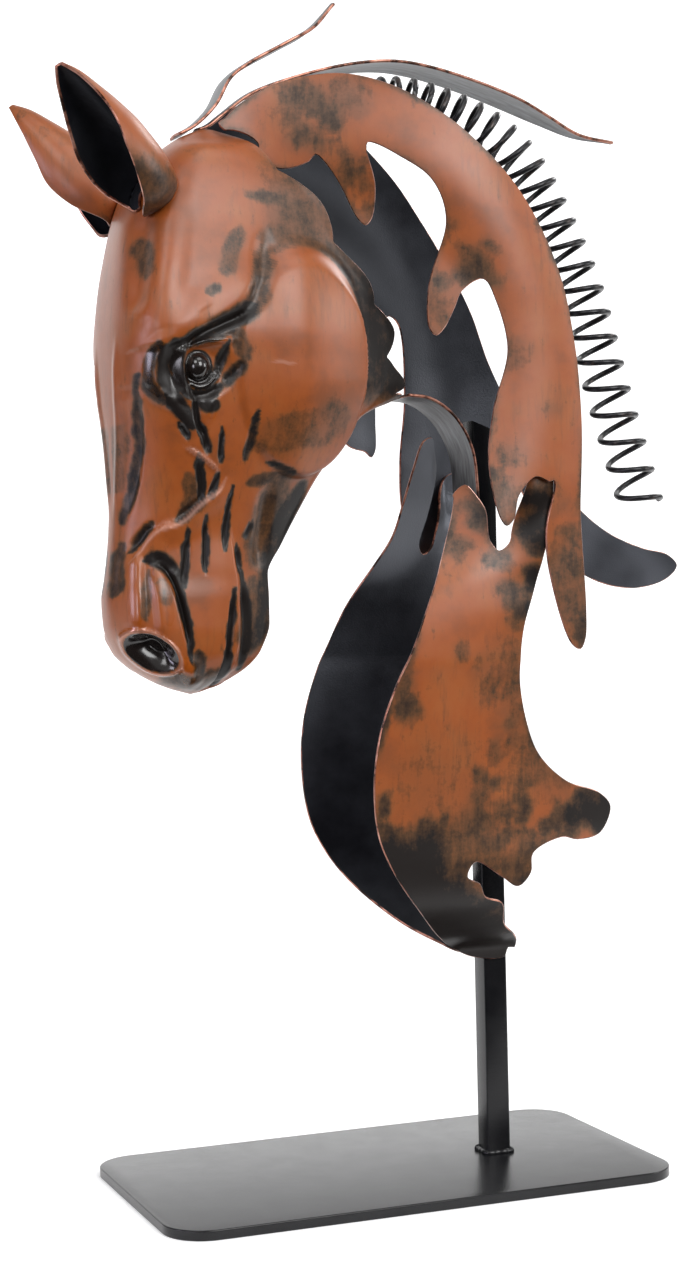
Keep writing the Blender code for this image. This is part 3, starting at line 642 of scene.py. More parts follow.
def hand_bent(half, seed, amount=0.35 * MM):
    """A bend with slow waves and half as deep quick ones, as a hand leaves them."""
    def waved(x, z):
        slow = noise.noise(Vector((x * SLOW_WAVE, seed, z * SLOW_WAVE)))
        quick = noise.noise(Vector((x * QUICK_WAVE, seed + 5, z * QUICK_WAVE)))
        return half(x, z) + amount * (slow + 0.5 * quick)
    return waved


poll_end = [(-49.4, 402.5), (-48.7, 407.4), (-52.6, 410.9), (-58, 412.6),
            ("tip", -63.8, 415.4, 172, 2.4)]
crest_edge = [(-57.5, 421), (-50, 426.5), (-40.5, 431.3), (-18, 434.8), (0, 430.4), (16.5, 421.2),
              (33.7, 406.7)]
upper_locks = [("notch", -9.2, 407.4, 125, 1.8), (-6.2, 390.8), ("tip", -9.4, 376.2, -85, 2.6),
               (-18.8, 391.5), ("notch", -28, 403.3, 95, 2.4), (-40.5, 398)]
left_neck = poll_end + crest_edge + [
    (52.3, 384.4), (64.5, 359.4), (70.4, 333.6), (73.6, 300), (73.4, 262.7), (74.9, 226),
    ("tip", 72, 210.3, -75, 3.2), (61.3, 230.8), (57.2, 257),
    ("notch", 60.3, 276.6, 60, 1.4), (52.2, 278), (45.1, 270.8),
    ("tip", 39.7, 259.2, -95, 2.8), (34, 283.4), (36.7, 304.5), (42.6, 327.6),
    ("notch", 33.5, 354.8, 75, 6.5), (22.8, 344.2),
    ("tip", 15.4, 333.3, -95, 2.8), (12.8, 351.7), (19.3, 377.1), (13.7, 392.9),
    (2, 402)] + upper_locks
right_neck = poll_end + crest_edge + [
    (46, 391.5), (57.5, 374), (68.7, 352.9), (76.5, 331), (88, 307), (103, 284), (119.6, 266.4),
    (133, 256.8), (149, 250.4), (160.5, 247.6), (165.2, 242.6), (160.2, 237), (143.5, 233), (122, 237.8),
    (101, 255), (86, 283), ("notch", 69, 302.2, 100, 6.0), (58, 283), (53.5, 264),
    ("tip", 44.5, 248, -98, 3.6), (33.8, 268.7), (32.2, 287.8), (35.1, 315.2),
    ("notch", 28.5, 350, 100, 4.0), (21.5, 330), (20.5, 306),
    ("tip", 18, 290.6, -80, 2.6), (5.5, 295.9), (1, 318), (0.5, 342), (-3, 362),
    (-11, 379), (-23, 391.5), (-38, 397), (-48.5, 398.8)]
SHEET_GRID = 2.2 * MM
# x, z, radius, strength; the last three, wide and weak, are painted shade over the locks
neck_dabs = [
    (-27, 424, 8.8, .56), (-36, 425, 7.5, .48), (-22, 419, 7.5, .48), (-32, 410, 8.8, .52),
    (-26, 406, 6.2, .52), (-38, 418, 7.5, .44), (-16, 426, 10, .32), (-32, 429, 7.5, .36),
    (-15, 396, 6.2, .48), (-11, 390, 5, .48), (-17, 401, 6.2, .4), (-8.5, 381, 5, .4),
    (31, 358, 8.8, .64), (36, 357, 6.2, .56), (20, 352, 6.2, .52), (26, 361, 7.5, .4),
    (16, 340, 6.2, .4), (38, 367, 5, .4), (57, 375, 5, .32), (20, 376, 5, .28), (47, 327, 7.5, .24),
    (36, 279, 5, .48), (40, 272, 6.2, .48), (59, 304, 5, .28), (43, 287, 7.5, .32),
    (72, 268, 6.2, .32), (66, 255, 6.2, .48), (64, 247, 5, .48), (71, 218, 7.5, .68),
    (67, 234, 5, .56), (69, 240, 6.2, .4), (61, 269, 6.2, .24), (69, 236, 26, .42), (38, 268, 14, .35),
    (14, 345, 14, .3)]


LOW_SLANT, LOW_SLANT_FROM, LOW_DRIFT, LOW_FADE = 0.9, 15, 24, 30


def blacken(piece, outline, dabs, edge_width, edge_strength, black_below=0):
    """Black gathers in the dabs, some of which are painted shade, and, here and there, along the cut
    edge. Below a height in millimetres, less toward the rear, all is black."""
    co = coords(piece)
    gaps = edge_distance(outline, co[:, [0, 2]])
    drift = np.array([noise.noise(Vector(c) * 45) for c in co])
    edges = edge_strength * (0.6 + 1.6 * drift) * smooth(1 - gaps / edge_width)
    soot_and_shade = np.maximum(edges, dabbed(co[:, 0] / MM, co[:, 2] / MM, dabs))
    slant = LOW_SLANT * np.maximum(co[:, 0] / MM - LOW_SLANT_FROM, 0)
    low = smooth((black_below - slant + LOW_DRIFT * drift - co[:, 2] / MM) / LOW_FADE)
    mark(piece, "soot_and_shade", np.maximum(soot_and_shade, 1.5 * low))


for label, side, features in (("left", -1, left_neck), ("right", 1, right_neck)):
    outline = cut_outline(features, 1.4)
    skin = bent_sheet(outline, hand_bent(neck_half, side * 3.0), side, SHEET_GRID)
    plate = thick_piece(label + "_neck_sheet", *skin, (copper, black, edge))
    blacken(plate, outline, neck_dabs, 3 * MM, 0.45)
    x, _, z = coords(plate).T / MM
    mark(plate, "sheen", smooth((350 - z) / 90) * (0.8 + wander(x, z, 16, 0.9, 2.4)))
    settle(plate, label + "_neck_plate")

# %% [markdown]
# ## Chest plates
#
# The chest sheets rise from the post, swell outward like a breast and curl in again at the top,
# where two short fingers reach up behind the neck plates. The swelling is a list of stations by
# height: how far the front edge stands from the middle, where that edge is, and how the sheet
# closes toward the back.

# %% Chest plates
chest_stations = [
    (80, 6.6, 40, 0), (89, 7.2, 34, 0), (97, 19, 20.6, 0), (114, 34, 1.4, -.02), (127, 37.5, -8, -.05),
    (141, 39, -13.4, -.08), (161, 41, -15.4, -.1), (186, 44, -11, -.12), (201, 46, -7, -.14),
    (208, 47, -3.5, -.14), (216, 46.6, 0, -.13), (226, 45, 5, -.09), (236, 41.3, 10.5, -.02),
    (247, 34.8, 18, .2), (258, 29.2, 23, .42), (275, 27, 29, .485), (300, 27, 33, .485)]
POST_SIDE = 10 * MM
WELD_GAP = 0.3 * MM
MEET_X, MEET_RUN, MEET_Z, MEET_RISE, MEET_GAP = (v * MM for v in (43, 11, 256, 19, 1.2))


def chest_half(x, z):
    front, start, slope = (float(along(chest_stations, c, z / MM)) for c in (1, 2, 3))
    reach = (front + slope * (x / MM - start)) * MM
    meets = float(smooth((x - MEET_X) / MEET_RUN) * smooth((z - MEET_Z) / MEET_RISE))
    reach += (neck_half(x, z) - SHEET - MEET_GAP - reach) * meets
    return max(POST_SIDE / 2 + WELD_GAP + SHEET, reach)


chest_front = [(53.5, 84.6), (40, 85.4), (30.5, 89.6), (18.1, 97.7), (2.2, 113.8), (-7.6, 127.7),
               (-13.5, 141.4), (-15.6, 161), (-13.5, 181), (-7, 200), (0, 214), (6.5, 228),
               (15.2, 243.6), (23, 259), (26.4, 271)]
rear_edge = [(59.5, 258), (55.2, 237.6), (49.6, 220), (48.3, 203), (51, 185.2), (57.5, 169.5),
             (70.7, 157.6), (86.1, 151.9), (91.1, 146), (85.7, 135.9), (75, 133.8), (68, 135.2),
             (54.2, 129.7), (53.2, 122.3), (47.7, 116.9), (40.1, 121.4),
             ("notch", 25.2, 122.4, 195, 4.6), (33.5, 113.8), (41.5, 110.5), (46, 101),
             ("tip", 58, 88, -50, 2.0)]
fingers = [("notch", 40.2, 250, -100, 3.4), (45.6, 258), (48.5, 268),
           ("tip", 57.5, 284, 80, 4.6)]
left_chest = chest_front + [("tip", 31, 276.3, 85, 4.4), (37.4, 266)] + fingers + rear_edge
right_chest = chest_front + [(31.8, 285.2), ("tip", 42.5, 298.4, 60, 3.6), (45, 285),
                             (40.5, 266)] + fingers + rear_edge

# the strong spots by the neck's lock are black and painted shadow of the lock; the last five, wide and
# weak, are painted shade
chest_dabs = [
    (31, 267, 7.2, .59), (33, 262, 6, .64), (24, 252, 6, .47), (53.5, 269, 9.6, 1), (57, 257, 10.8, 1),
    (52, 240, 8.4, 1), (50, 228, 7.2, .9), (48, 207, 4.8, .42), (39, 247, 6, .55), (42, 233, 7.2, .55),
    (45, 223, 7.2, .42), (-4.6, 197, 6, .55), (-2.5, 190, 7.2, .64), (-1, 204, 4.8, .42),
    (30, 204, 7.2, .26), (20, 212, 4.8, .38), (44, 184, 7.2, .47), (38, 173, 6, .42),
    (48, 175, 6, .38), (30, 161, 7.2, .55), (38, 159, 6, .64), (50, 159, 8.4, .42),
    (32, 154, 7.2, .47), (31, 144, 8.4, .59), (40, 147, 6, .47), (49, 148, 7.2, .68),
    (50, 138, 6, .47), (89, 145, 15.6, 1.2), (79, 144, 10.8, 1), (72, 142, 9.6, 1),
    (65, 145, 7.2, .68), (61, 139, 7.2, .59), (57, 133, 7.2, .42), (43, 137, 7.2, .55),
    (38, 134, 6, .55), (51, 131, 7.2, .55), (48, 124, 7.2, .51), (-12, 154, 6, .64),
    (-9, 143, 7.2, .68), (-6, 134, 7.2, .72), (6, 138, 7.2, .55), (-1, 130, 8.4, .9),
    (12, 145, 6, .47), (15, 136, 7.2, .51), (22, 138, 6, .42), (9, 122, 12, .95), (22, 121, 12, .72),
    (42, 106, 10.8, .68), (5, 120, 9.6, .9), (20, 107, 18, 1.2), (35, 98, 20.4, 1.2),
    (52, 90, 15.6, 1.2), (42, 102, 12, .9), (14, 113, 13.2, 1.1), (64, 172, 26, .42),
    (50, 200, 24, .36), (26, 132, 26, .5), (46, 120, 16, .6), (10, 160, 26, .2)]

for label, side, features in (("left", -1, left_chest), ("right", 1, right_chest)):
    outline = cut_outline(features, 1.4)
    skin = bent_sheet(outline, hand_bent(chest_half, side * 9.0, 0.3 * MM), side, SHEET_GRID)
    plate = thick_piece(label + "_chest_sheet", *skin, (copper, black, edge))
    blacken(plate, outline, chest_dabs, 4 * MM, 0.5, 145)
    mark(plate, "sheen", smooth((coords(plate)[:, 2] / MM - 205) / 45))
    settle(plate, label + "_chest_plate")

# %% [markdown]
# ## Head
#
# The head is one pressed sheet, open at the back. It is lofted through level sections: each row of
# the list gives a height, the front of the nose, the widest place, the half width there, the back
# corner, how square the front is and how far back the throat closes. The rear rim is scalloped. On
# top of that plain form the relief is pushed in and out along the surface, as a chaser would do with
# punches: domes for the eye and the cheek, ridges for brow, lids and veins, sunk lines for the slits
# and grooves. A sunk line that is also blackened has its soot in the same row.

# %% The head's plain form
head_stations = [
    (197.5, -78, -75.5, 3.0, -73, 2.0, -72), (199, -83, -77, 8.0, -69, 2.0, -67),
    (202, -90, -80, 13.0, -62.5, 2.1, -60), (207, -98, -83, 17.5, -55.5, 2.2, -53),
    (214, -104.8, -85, 20.5, -50.5, 2.3, -48), (224, -108.4, -86, 22.3, -47, 2.4, -44.5),
    (234, -109, -84, 22.5, -47.2, 2.4, -44.8), (243, -107.8, -81, 21.8, -47.8, 2.4, -45.4),
    (255, -106.2, -78, 22.2, -41, 2.3, -38.5), (268, -105.2, -75, 24.5, -34, 2.3, -31),
    (281, -104.8, -73, 28.0, -27, 2.4, -23), (292, -105.0, -72, 31.0, -18.5, 2.5, -14),
    (303, -105.5, -73, 33.4, -10, 2.7, -6), (307, -105.8, -74, 34.2, -4, 2.8, 1),
    (310, -106.0, -75, 34.8, 2, 2.9, 9), (312.8, -106.1, -76, 35.3, 7.5, 2.9, 14),
    (315, -106.2, -77, 35.7, 9, 3.0, 14), (324, -106.4, -79, 37.0, 3.2, 3.1, 14),
    (336, -106.2, -82, 38.4, 2.5, 3.0, 14), (346, -105.6, -84, 38.2, -3, 2.8, 14),
    (356, -104.7, -83, 37.0, -10, 2.6, 14), (366, -103.3, -81, 34.8, -19, 2.4, 14),
    (376, -101.4, -78, 32.4, -25, 2.3, 14), (386, -98.4, -76, 30.4, -31, 2.2, 14),
    (394, -94.2, -74, 28.6, -39, 2.2, 14), (400, -89.8, -72, 26.8, -47, 2.2, 14),
    (406, -83.6, -70, 22.8, -53, 2.2, 14), (409, -79.5, -69, 16.4, -56.5, 2.2, 14),
    (412, -74.8, -67.5, 12.4, -60, 2.2, 14), (414.5, -69, -66, 8.0, -63, 2.2, 14)]
THROAT_Z = 312.8
lobe_ends = [312.8, 327, 347, 370, 397, 414.5]
LOBE_DEPTH = 4.2
# the back corner and its half width as they would run without the throat's step
even_back = [(197.5, -73, 1.5), (214, -50.5, 12), (234, -46.2, 12.5), (255, -41, 12), (281, -27, 15),
             (303, -9, 17.5), (318, 2.5, 18), (336, 2.5, 19.5), (346, -3, 22.5), (366, -19, 26.2),
             (386, -31, 27.3), (406, -53, 21.4), (414.5, -63, 7.2)]
SIDE_POWER, PAST_SLOPE = 2.2, 0.45
OPEN_COLUMNS, CLOSE_COLUMNS = 150, 14


def thin_out(points, spacing_at, count):
    """The same line with a set number of points, closer together where the spacing asks."""
    steps = np.linalg.norm(np.diff(points, axis=0), axis=1)
    middles = (points[1:] + points[:-1]) / 2
    weight = np.concatenate([[0], np.cumsum(steps / spacing_at(middles[:, 0]))])
    at = np.linspace(0, weight[-1], count + 1)
    return np.column_stack([np.interp(at, weight, points[:, c]) for c in range(2)])


def head_section(z):
    """Half of a level section: points (x, y) from the nose side round to the back."""
    front, widest, half, back, square, middle = (
        float(along(head_stations, c, z)) for c in range(1, 7))
    even, even_half = (float(along(even_back, c, z)) for c in (1, 2))
    for low, high in zip(lobe_ends, lobe_ends[1:]):
        if low < z < high:
            back += LOBE_DEPTH * math.sin(math.pi * (z - low) / (high - low)) ** 0.8
    turn = 0.25 * math.pi * (1 - np.cos(np.linspace(0, math.pi, 240)))
    xs = widest - (widest - front) * np.maximum(np.cos(turn), 0) ** (2 / square)
    ys = half * np.sin(turn) ** (2 / square)
    run = np.linspace(0, 1, 241)[1:]
    side_x = widest + (back - widest) * run
    gone = (side_x - widest) / (even - widest)
    fall = np.minimum(gone, 1) ** SIDE_POWER + PAST_SLOPE * SIDE_POWER * np.maximum(gone - 1, 0)
    side_y = even_half + (half - even_half) * (1 - fall)
    line = np.column_stack([np.concatenate([xs, side_x]), np.concatenate([ys, side_y])])
    low_x, high_x = -101 - 7 * smooth((262 - z) / 20), -62
    fine = lambda x: 1.15 - 0.65 * smooth((x - low_x) / 5 + 1) * smooth((high_x - x) / 5 + 1)
    points = thin_out(line, fine, OPEN_COLUMNS)
    if z <= THROAT_Z:
        turn = 0.5 * math.pi * np.arange(1, CLOSE_COLUMNS + 1) / CLOSE_COLUMNS
        end_x, end_y = points[-1]
        closing = np.column_stack([end_x + (middle - end_x) * np.sin(turn), end_y * np.cos(turn)])
        points = np.vstack([points, closing])
    return points


def head_heights():
    """Heights of the sections: close together over the eye and the muzzle."""
    spacing = [(197, 0.35), (200.5, 0.35), (203, 0.75), (250, 0.85), (262, 1.0), (296, 1.0),
               (303, 0.6), (340, 0.6), (346, 0.9), (368, 1.0), (376, 1.6), (414.5, 1.7)]
    heights = [197.5]
    while heights[-1] < 414.2:
        heights.append(min(heights[-1] + float(along(spacing, 1, heights[-1])), 414.5))
    nearest = min(range(len(heights)), key=lambda i: abs(heights[i] - THROAT_Z))
    heights[nearest] = THROAT_Z
    return heights


# %% The head's grid of points
heights = head_heights()
THROAT_ROW = heights.index(THROAT_Z)
TOP_ROW = len(heights) - 1
LAST = OPEN_COLUMNS + CLOSE_COLUMNS
grid_points = []
numbers = {1: {}, -1: {}}
for row, z in enumerate(heights):
    section = head_section(z)
    for column, (x, y) in enumerate(section):
        centre = column in (0, LAST)
        for side in ((1,) if centre else (1, -1)):
            numbers[side][row, column] = len(grid_points)
            grid_points.append((x, 0.0 if centre else side * y, z))
        if centre:
            numbers[-1][row, column] = numbers[1][row, column]
chin_point = len(grid_points)
grid_points.append((-75.5, 0.0, 196.8))
head_points = np.array(grid_points)


def head_panels(step):
    """Panels of the head. Wide steps still take in every point of the open rim."""
    rows = sorted({*range(0, THROAT_ROW, step), *range(THROAT_ROW, TOP_ROW, step), TOP_ROW})
    columns = sorted({*range(0, OPEN_COLUMNS, step), *range(OPEN_COLUMNS, LAST, step), LAST})
    panels = []
    for low, high in zip(rows, rows[1:]):
        for left, right in zip(columns, columns[1:]):
            if right > OPEN_COLUMNS and high > THROAT_ROW:
                continue
            on_top = high == TOP_ROW or (high == THROAT_ROW and left >= OPEN_COLUMNS)
            on_rear = right == OPEN_COLUMNS and low >= THROAT_ROW
            loop = [(low, left), (high, left)]
            loop += [(high, c) for c in range(left + 1, right)] if on_top else []
            loop += [(high, right)]
            loop += [(r, right) for r in range(high - 1, low, -1)] if on_rear else []
            loop += [(low, right)]
            panels.append(tuple(numbers[1][spot] for spot in loop))
            panels.append(tuple(numbers[-1][spot] for spot in reversed(loop)))
    ring = [numbers[1][0, c] for c in columns] + [numbers[-1][0, c] for c in columns[-2:0:-1]]
    return panels + [(chin_point, a, b) for a, b in zip(ring, ring[1:] + ring[:1])]


head_faces = head_panels(1)
PANEL = 3
head_inner_faces = head_panels(PANEL)
print("head grid:", len(head_points), "points,", len(heights), "rows")

# %% [markdown]
# ### The chaser's lists
#
# The relief is written as strokes on the side of the head, in millimetres back from the middle of
# the base and up from the table. Every stroke runs front to back or top to bottom and tapers at its
# ends. A press has a height (below zero is sunk) and two half widths, the first on the upper or rear
# side. Unequal widths make a fold: gentle on one side, steep on the other. The two folds in front of
# the eye fall straight like a roof. Black that is wiped on where no line is pressed has a list of its
# own, in which some wide strokes and the band under the lower lid are painted shade as well as black.
# The glossy places have a list, and so have the rubbed places, whose bare copper also paints the
# highlight on the veins.

# %% Strokes and ovals
def ends(run):
    """0 at both ends of a stroke, 0.5 in its middle."""
    return min(max(run, 0.0), 1.0 - run)


def stroke_share(x, z, points, first, second, fading, flat=0):
    """1 on a tapered stroke, falling to 0 at its width on either side, smoothly or with flat 1
    like a roof. With fading 1 it also sinks to 0 at its ends."""
    line = curve_through(points, 1.5)
    runs = np.concatenate([[0], np.cumsum(np.linalg.norm(np.diff(line, axis=0), axis=1))])
    runs /= runs[-1]
    share = np.zeros(len(x))
    reach = max(first, second)
    near = np.flatnonzero((x > line[:, 0].min() - reach) & (x < line[:, 0].max() + reach)
                          & (z > line[:, 1].min() - reach) & (z < line[:, 1].max() + reach))
    for (ax, az), (bx, bz), run in zip(line, line[1:], runs):
        dx, dz = bx - ax, bz - az
        px, pz = x[near] - ax, z[near] - az
        t = np.clip((px * dx + pz * dz) / max(dx * dx + dz * dz, 1e-9), 0, 1)
        px, pz = px - t * dx, pz - t * dz
        width = np.where(dx * pz - dz * px > 0, first, second) * (0.55 + 0.45 * smooth(4 * ends(run)))
        fade = 1 - fading * (1 - smooth(ends(run) / 0.25))
        fall = np.maximum(1 - np.hypot(px, pz) / width, 0)
        share[near] = np.maximum(share[near], fade * (flat * fall + (1 - flat) * smooth(fall)))
    return share


def oval_ring(x, z, oval):
    """Distance from an oval's centre, 1 on its edge: (centre x, z, radius x, z, tilt)."""
    cx, cz, rx, rz, tilt = oval
    c, s = math.cos(math.radians(tilt)), math.sin(math.radians(tilt))
    return np.hypot(((x - cx) * c + (z - cz) * s) / rx, ((z - cz) * c - (x - cx) * s) / rz)


# %% The chaser's lists
DISC, DISC_EDGE = (-37.0, 323.0, 27.5, 42.0, 0), 1.6
SOCKET = (-80.5, 319.6, 13.5, 10.0, 0)
EYEBALL = (-79.7, 320.2, 4.7, 5.2, 0)
NOSTRIL = (-95.2, 214.2, 11.2, 6.0, -34)
LOW_VEIN = [(-102.4, 247.6), (-99, 251.9), (-95.5, 257.2), (-92.2, 260.4), (-86.5, 262),
            (-82.6, 264.2), (-78.6, 268.4), (-74.6, 271.6), (-70.4, 274.6), (-67.6, 279.6)]
HIGH_VEIN = [(-84.8, 291.2), (-80, 288.8), (-76.4, 286.6), (-70.6, 282.2)]
# height, upper or rear width, lower or front width, strength and half width of its soot, points
presses = [
    (2.0, 17, 5, 0, 0, [(-103, 327), (-95, 330), (-88, 332.5), (-80, 336.5), (-71, 341.5), (-62, 348),
            (-56, 358)]),
    (-2.4, 2.6, 3.4, 0, 0, [(-93, 328), (-87, 328.6), (-83, 330.4), (-77.2, 333.8), (-71.2, 336.4),
            (-65.5, 338.8), (-60, 342)]),
    (-1.5, 5.0, 6.0, 0, 0, [(-50.5, 374), (-51.8, 366), (-53.4, 358), (-55.4, 351), (-58, 345),
            (-63, 339)]),
    (1.5, 1.6, 2.6, 0, 0, [(-84.8, 325.6), (-82, 328.4), (-78.2, 329.6), (-72.5, 330.6), (-66.5, 331)]),
    (1.7, 1.6, 3.0, 1.1, 2.0, [(-84.6, 316), (-82.3, 314), (-79.2, 313.1), (-75.8, 314.1),
            (-72.6, 317.6)]),
    (-1.0, 1.4, 1.8, 0, 0, [(-68.4, 329), (-70.2, 324), (-71.4, 319)]),
    (-0.9, 2.2, 1.6, 0, 0, [(-63.4, 323), (-65.4, 319), (-68.6, 315.6)]),
    (-1.0, 1.8, 1.4, 0, 0, [(-86, 310.6), (-83, 309.6), (-79.6, 309.4), (-75.5, 310.2), (-71.4, 312.6)]),
    (1.0, 4.6, 4.0, 0, 0, [(-91.5, 309.4), (-88, 305.6), (-84.6, 302), (-82, 297.6)]),
    (0.8, 3.6, 3.8, 0, 0, [(-72.6, 309.4), (-75.4, 305.6), (-77, 301.4)]),
    (-1.6, 1.6, 1.5, 1.2, 1.7, [(-80.9, 312), (-80.8, 305.4), (-79.8, 300), (-77.6, 295)]),
    (-1.2, 1.3, 1.3, 1.1, 1.5, [(-86.8, 299.8), (-85.2, 297.6), (-83.6, 295.2)]),
    (-1.5, 1.6, 1.6, 0, 0, [(-78.6, 299.5), (-76.9, 295), (-75.7, 289.6)]),
    (-1.2, 1.5, 1.5, 1.0, 1.6, [(-69.6, 298.4), (-70.2, 292.5), (-70.4, 286)]),
    (-0.9, 1.5, 1.5, 0.9, 1.8, [(-56.4, 304.8), (-58.6, 296), (-60.3, 286.4)]),
    (-0.8, 1.3, 1.3, 0, 0, [(-50.5, 285.6), (-46, 284.6), (-41.4, 282.9)]),
    (-1.4, 1.7, 1.9, 0, 0, [(-79.3, 287.6), (-78.0, 280), (-76.8, 271.8)]),
    (-1.1, 1.6, 1.8, 1.1, 1.8, [(-70.6, 281.2), (-71.8, 277.4), (-73.6, 273.8)]),
    (-1.4, 1.6, 1.6, 1.2, 1.8, [(-74.6, 266.4), (-74.8, 255), (-75, 243.8)]),
    (-1.4, 1.9, 1.9, 0, 0, [(-81.9, 258.4), (-82.5, 249), (-84.1, 240)]),
    (-1.1, 1.5, 1.5, 1.1, 1.6, [(-64.4, 275.8), (-66.4, 263.7), (-67.7, 252.4)]),
    (-0.8, 1.5, 1.5, 0, 0, [(-55.4, 263), (-57.6, 258)]),
    (-0.9, 1.7, 1.7, 0, 0, [(-61.6, 252.6), (-61.2, 245.6)]),
    (-2.2, 2.4, 1.8, 0, 0, [(-64.4, 238), (-65.8, 218), (-66.8, 208), (-67.6, 201.5), (-68.4, 198.5)]),
    (-1.0, 1.8, 3.4, 0, 0, [(-101.6, 314), (-100.4, 306), (-99.5, 296), (-99.5, 284), (-101.3, 272),
            (-103, 264)]),
    (-0.7, 2.4, 2.8, 0, 0, [(-104.6, 251), (-106.2, 243), (-106.6, 236)]),
    (1.0, 1.0, 1.5, 0, 0, HIGH_VEIN),
    (1.6, 1.2, 9.0, 0, 0, LOW_VEIN),
    (-1.5, 3.2, 1.4, 0, 0, [(-101.6, 252.4), (-98.2, 257.6), (-94.6, 261.8)]),
    (-1.3, 3.4, 1.4, 0.8, 3.0, [(-85.6, 264.4), (-81.4, 267.8), (-77.8, 271.4)]),
    (-2.6, 1.3, 2.6, 0, 0, [(-97.4, 248.2), (-91.8, 246.6), (-88.2, 242.0), (-85.4, 234.5),
            (-83.3, 226.2), (-82.0, 219.5), (-81.4, 214)]),
    (-1.2, 3.4, 3.0, 0, 0, [(-94, 249.5), (-89, 246)]),
    (1.9, 2.6, 7.0, 0, 0, [(-99, 254), (-99.8, 244), (-100.2, 234), (-100, 221)]),
    (1.8, 10.5, 3.4, 0, 0, [(-95.4, 247), (-94, 239), (-93, 230), (-92.4, 219)]),
    (2.6, 6.5, 6.5, 0, 0, [(-80.4, 208.5), (-79.8, 206.5), (-79.2, 204)]),
    (-1.3, 2.6, 2.6, 0, 0, [(-60.2, 240), (-57.8, 221.5), (-59.5, 207)]),
    (2.0, 3.2, 20, 0, 0, [(-64, 254), (-62.8, 240), (-62.6, 226), (-62.6, 214), (-64, 206)]),
    (-1.8, 5.0, 6.0, 0, 0, [(-48, 278), (-50, 266), (-50.5, 256), (-51, 246)]),
    (1.3, 10, 8, 0, 0, [(-86.6, 388), (-88.4, 376), (-90.2, 366), (-92.6, 352), (-95.6, 338)]),
    (0.9, 12, 7, 0, 0, [(-99, 340), (-94, 337), (-87, 337), (-80, 341)]),
    (-1.8, 6.5, 6.0, 0, 0, [(-102.6, 338), (-101.8, 348), (-99.6, 358), (-97.9, 369), (-96, 380)])]
# height, rear width, front width, points, each side falling like a roof
eye_folds = [
    (3.2, 1.6, 5.4, [(-82.6, 331), (-85.2, 326.6), (-86.0, 320), (-85.2, 314.4), (-82.6, 309)]),
    (2.0, 4.4, 5.6, [(-89, 333), (-93.6, 327.6), (-95.0, 320.6), (-94.2, 313.8), (-90, 307)])]
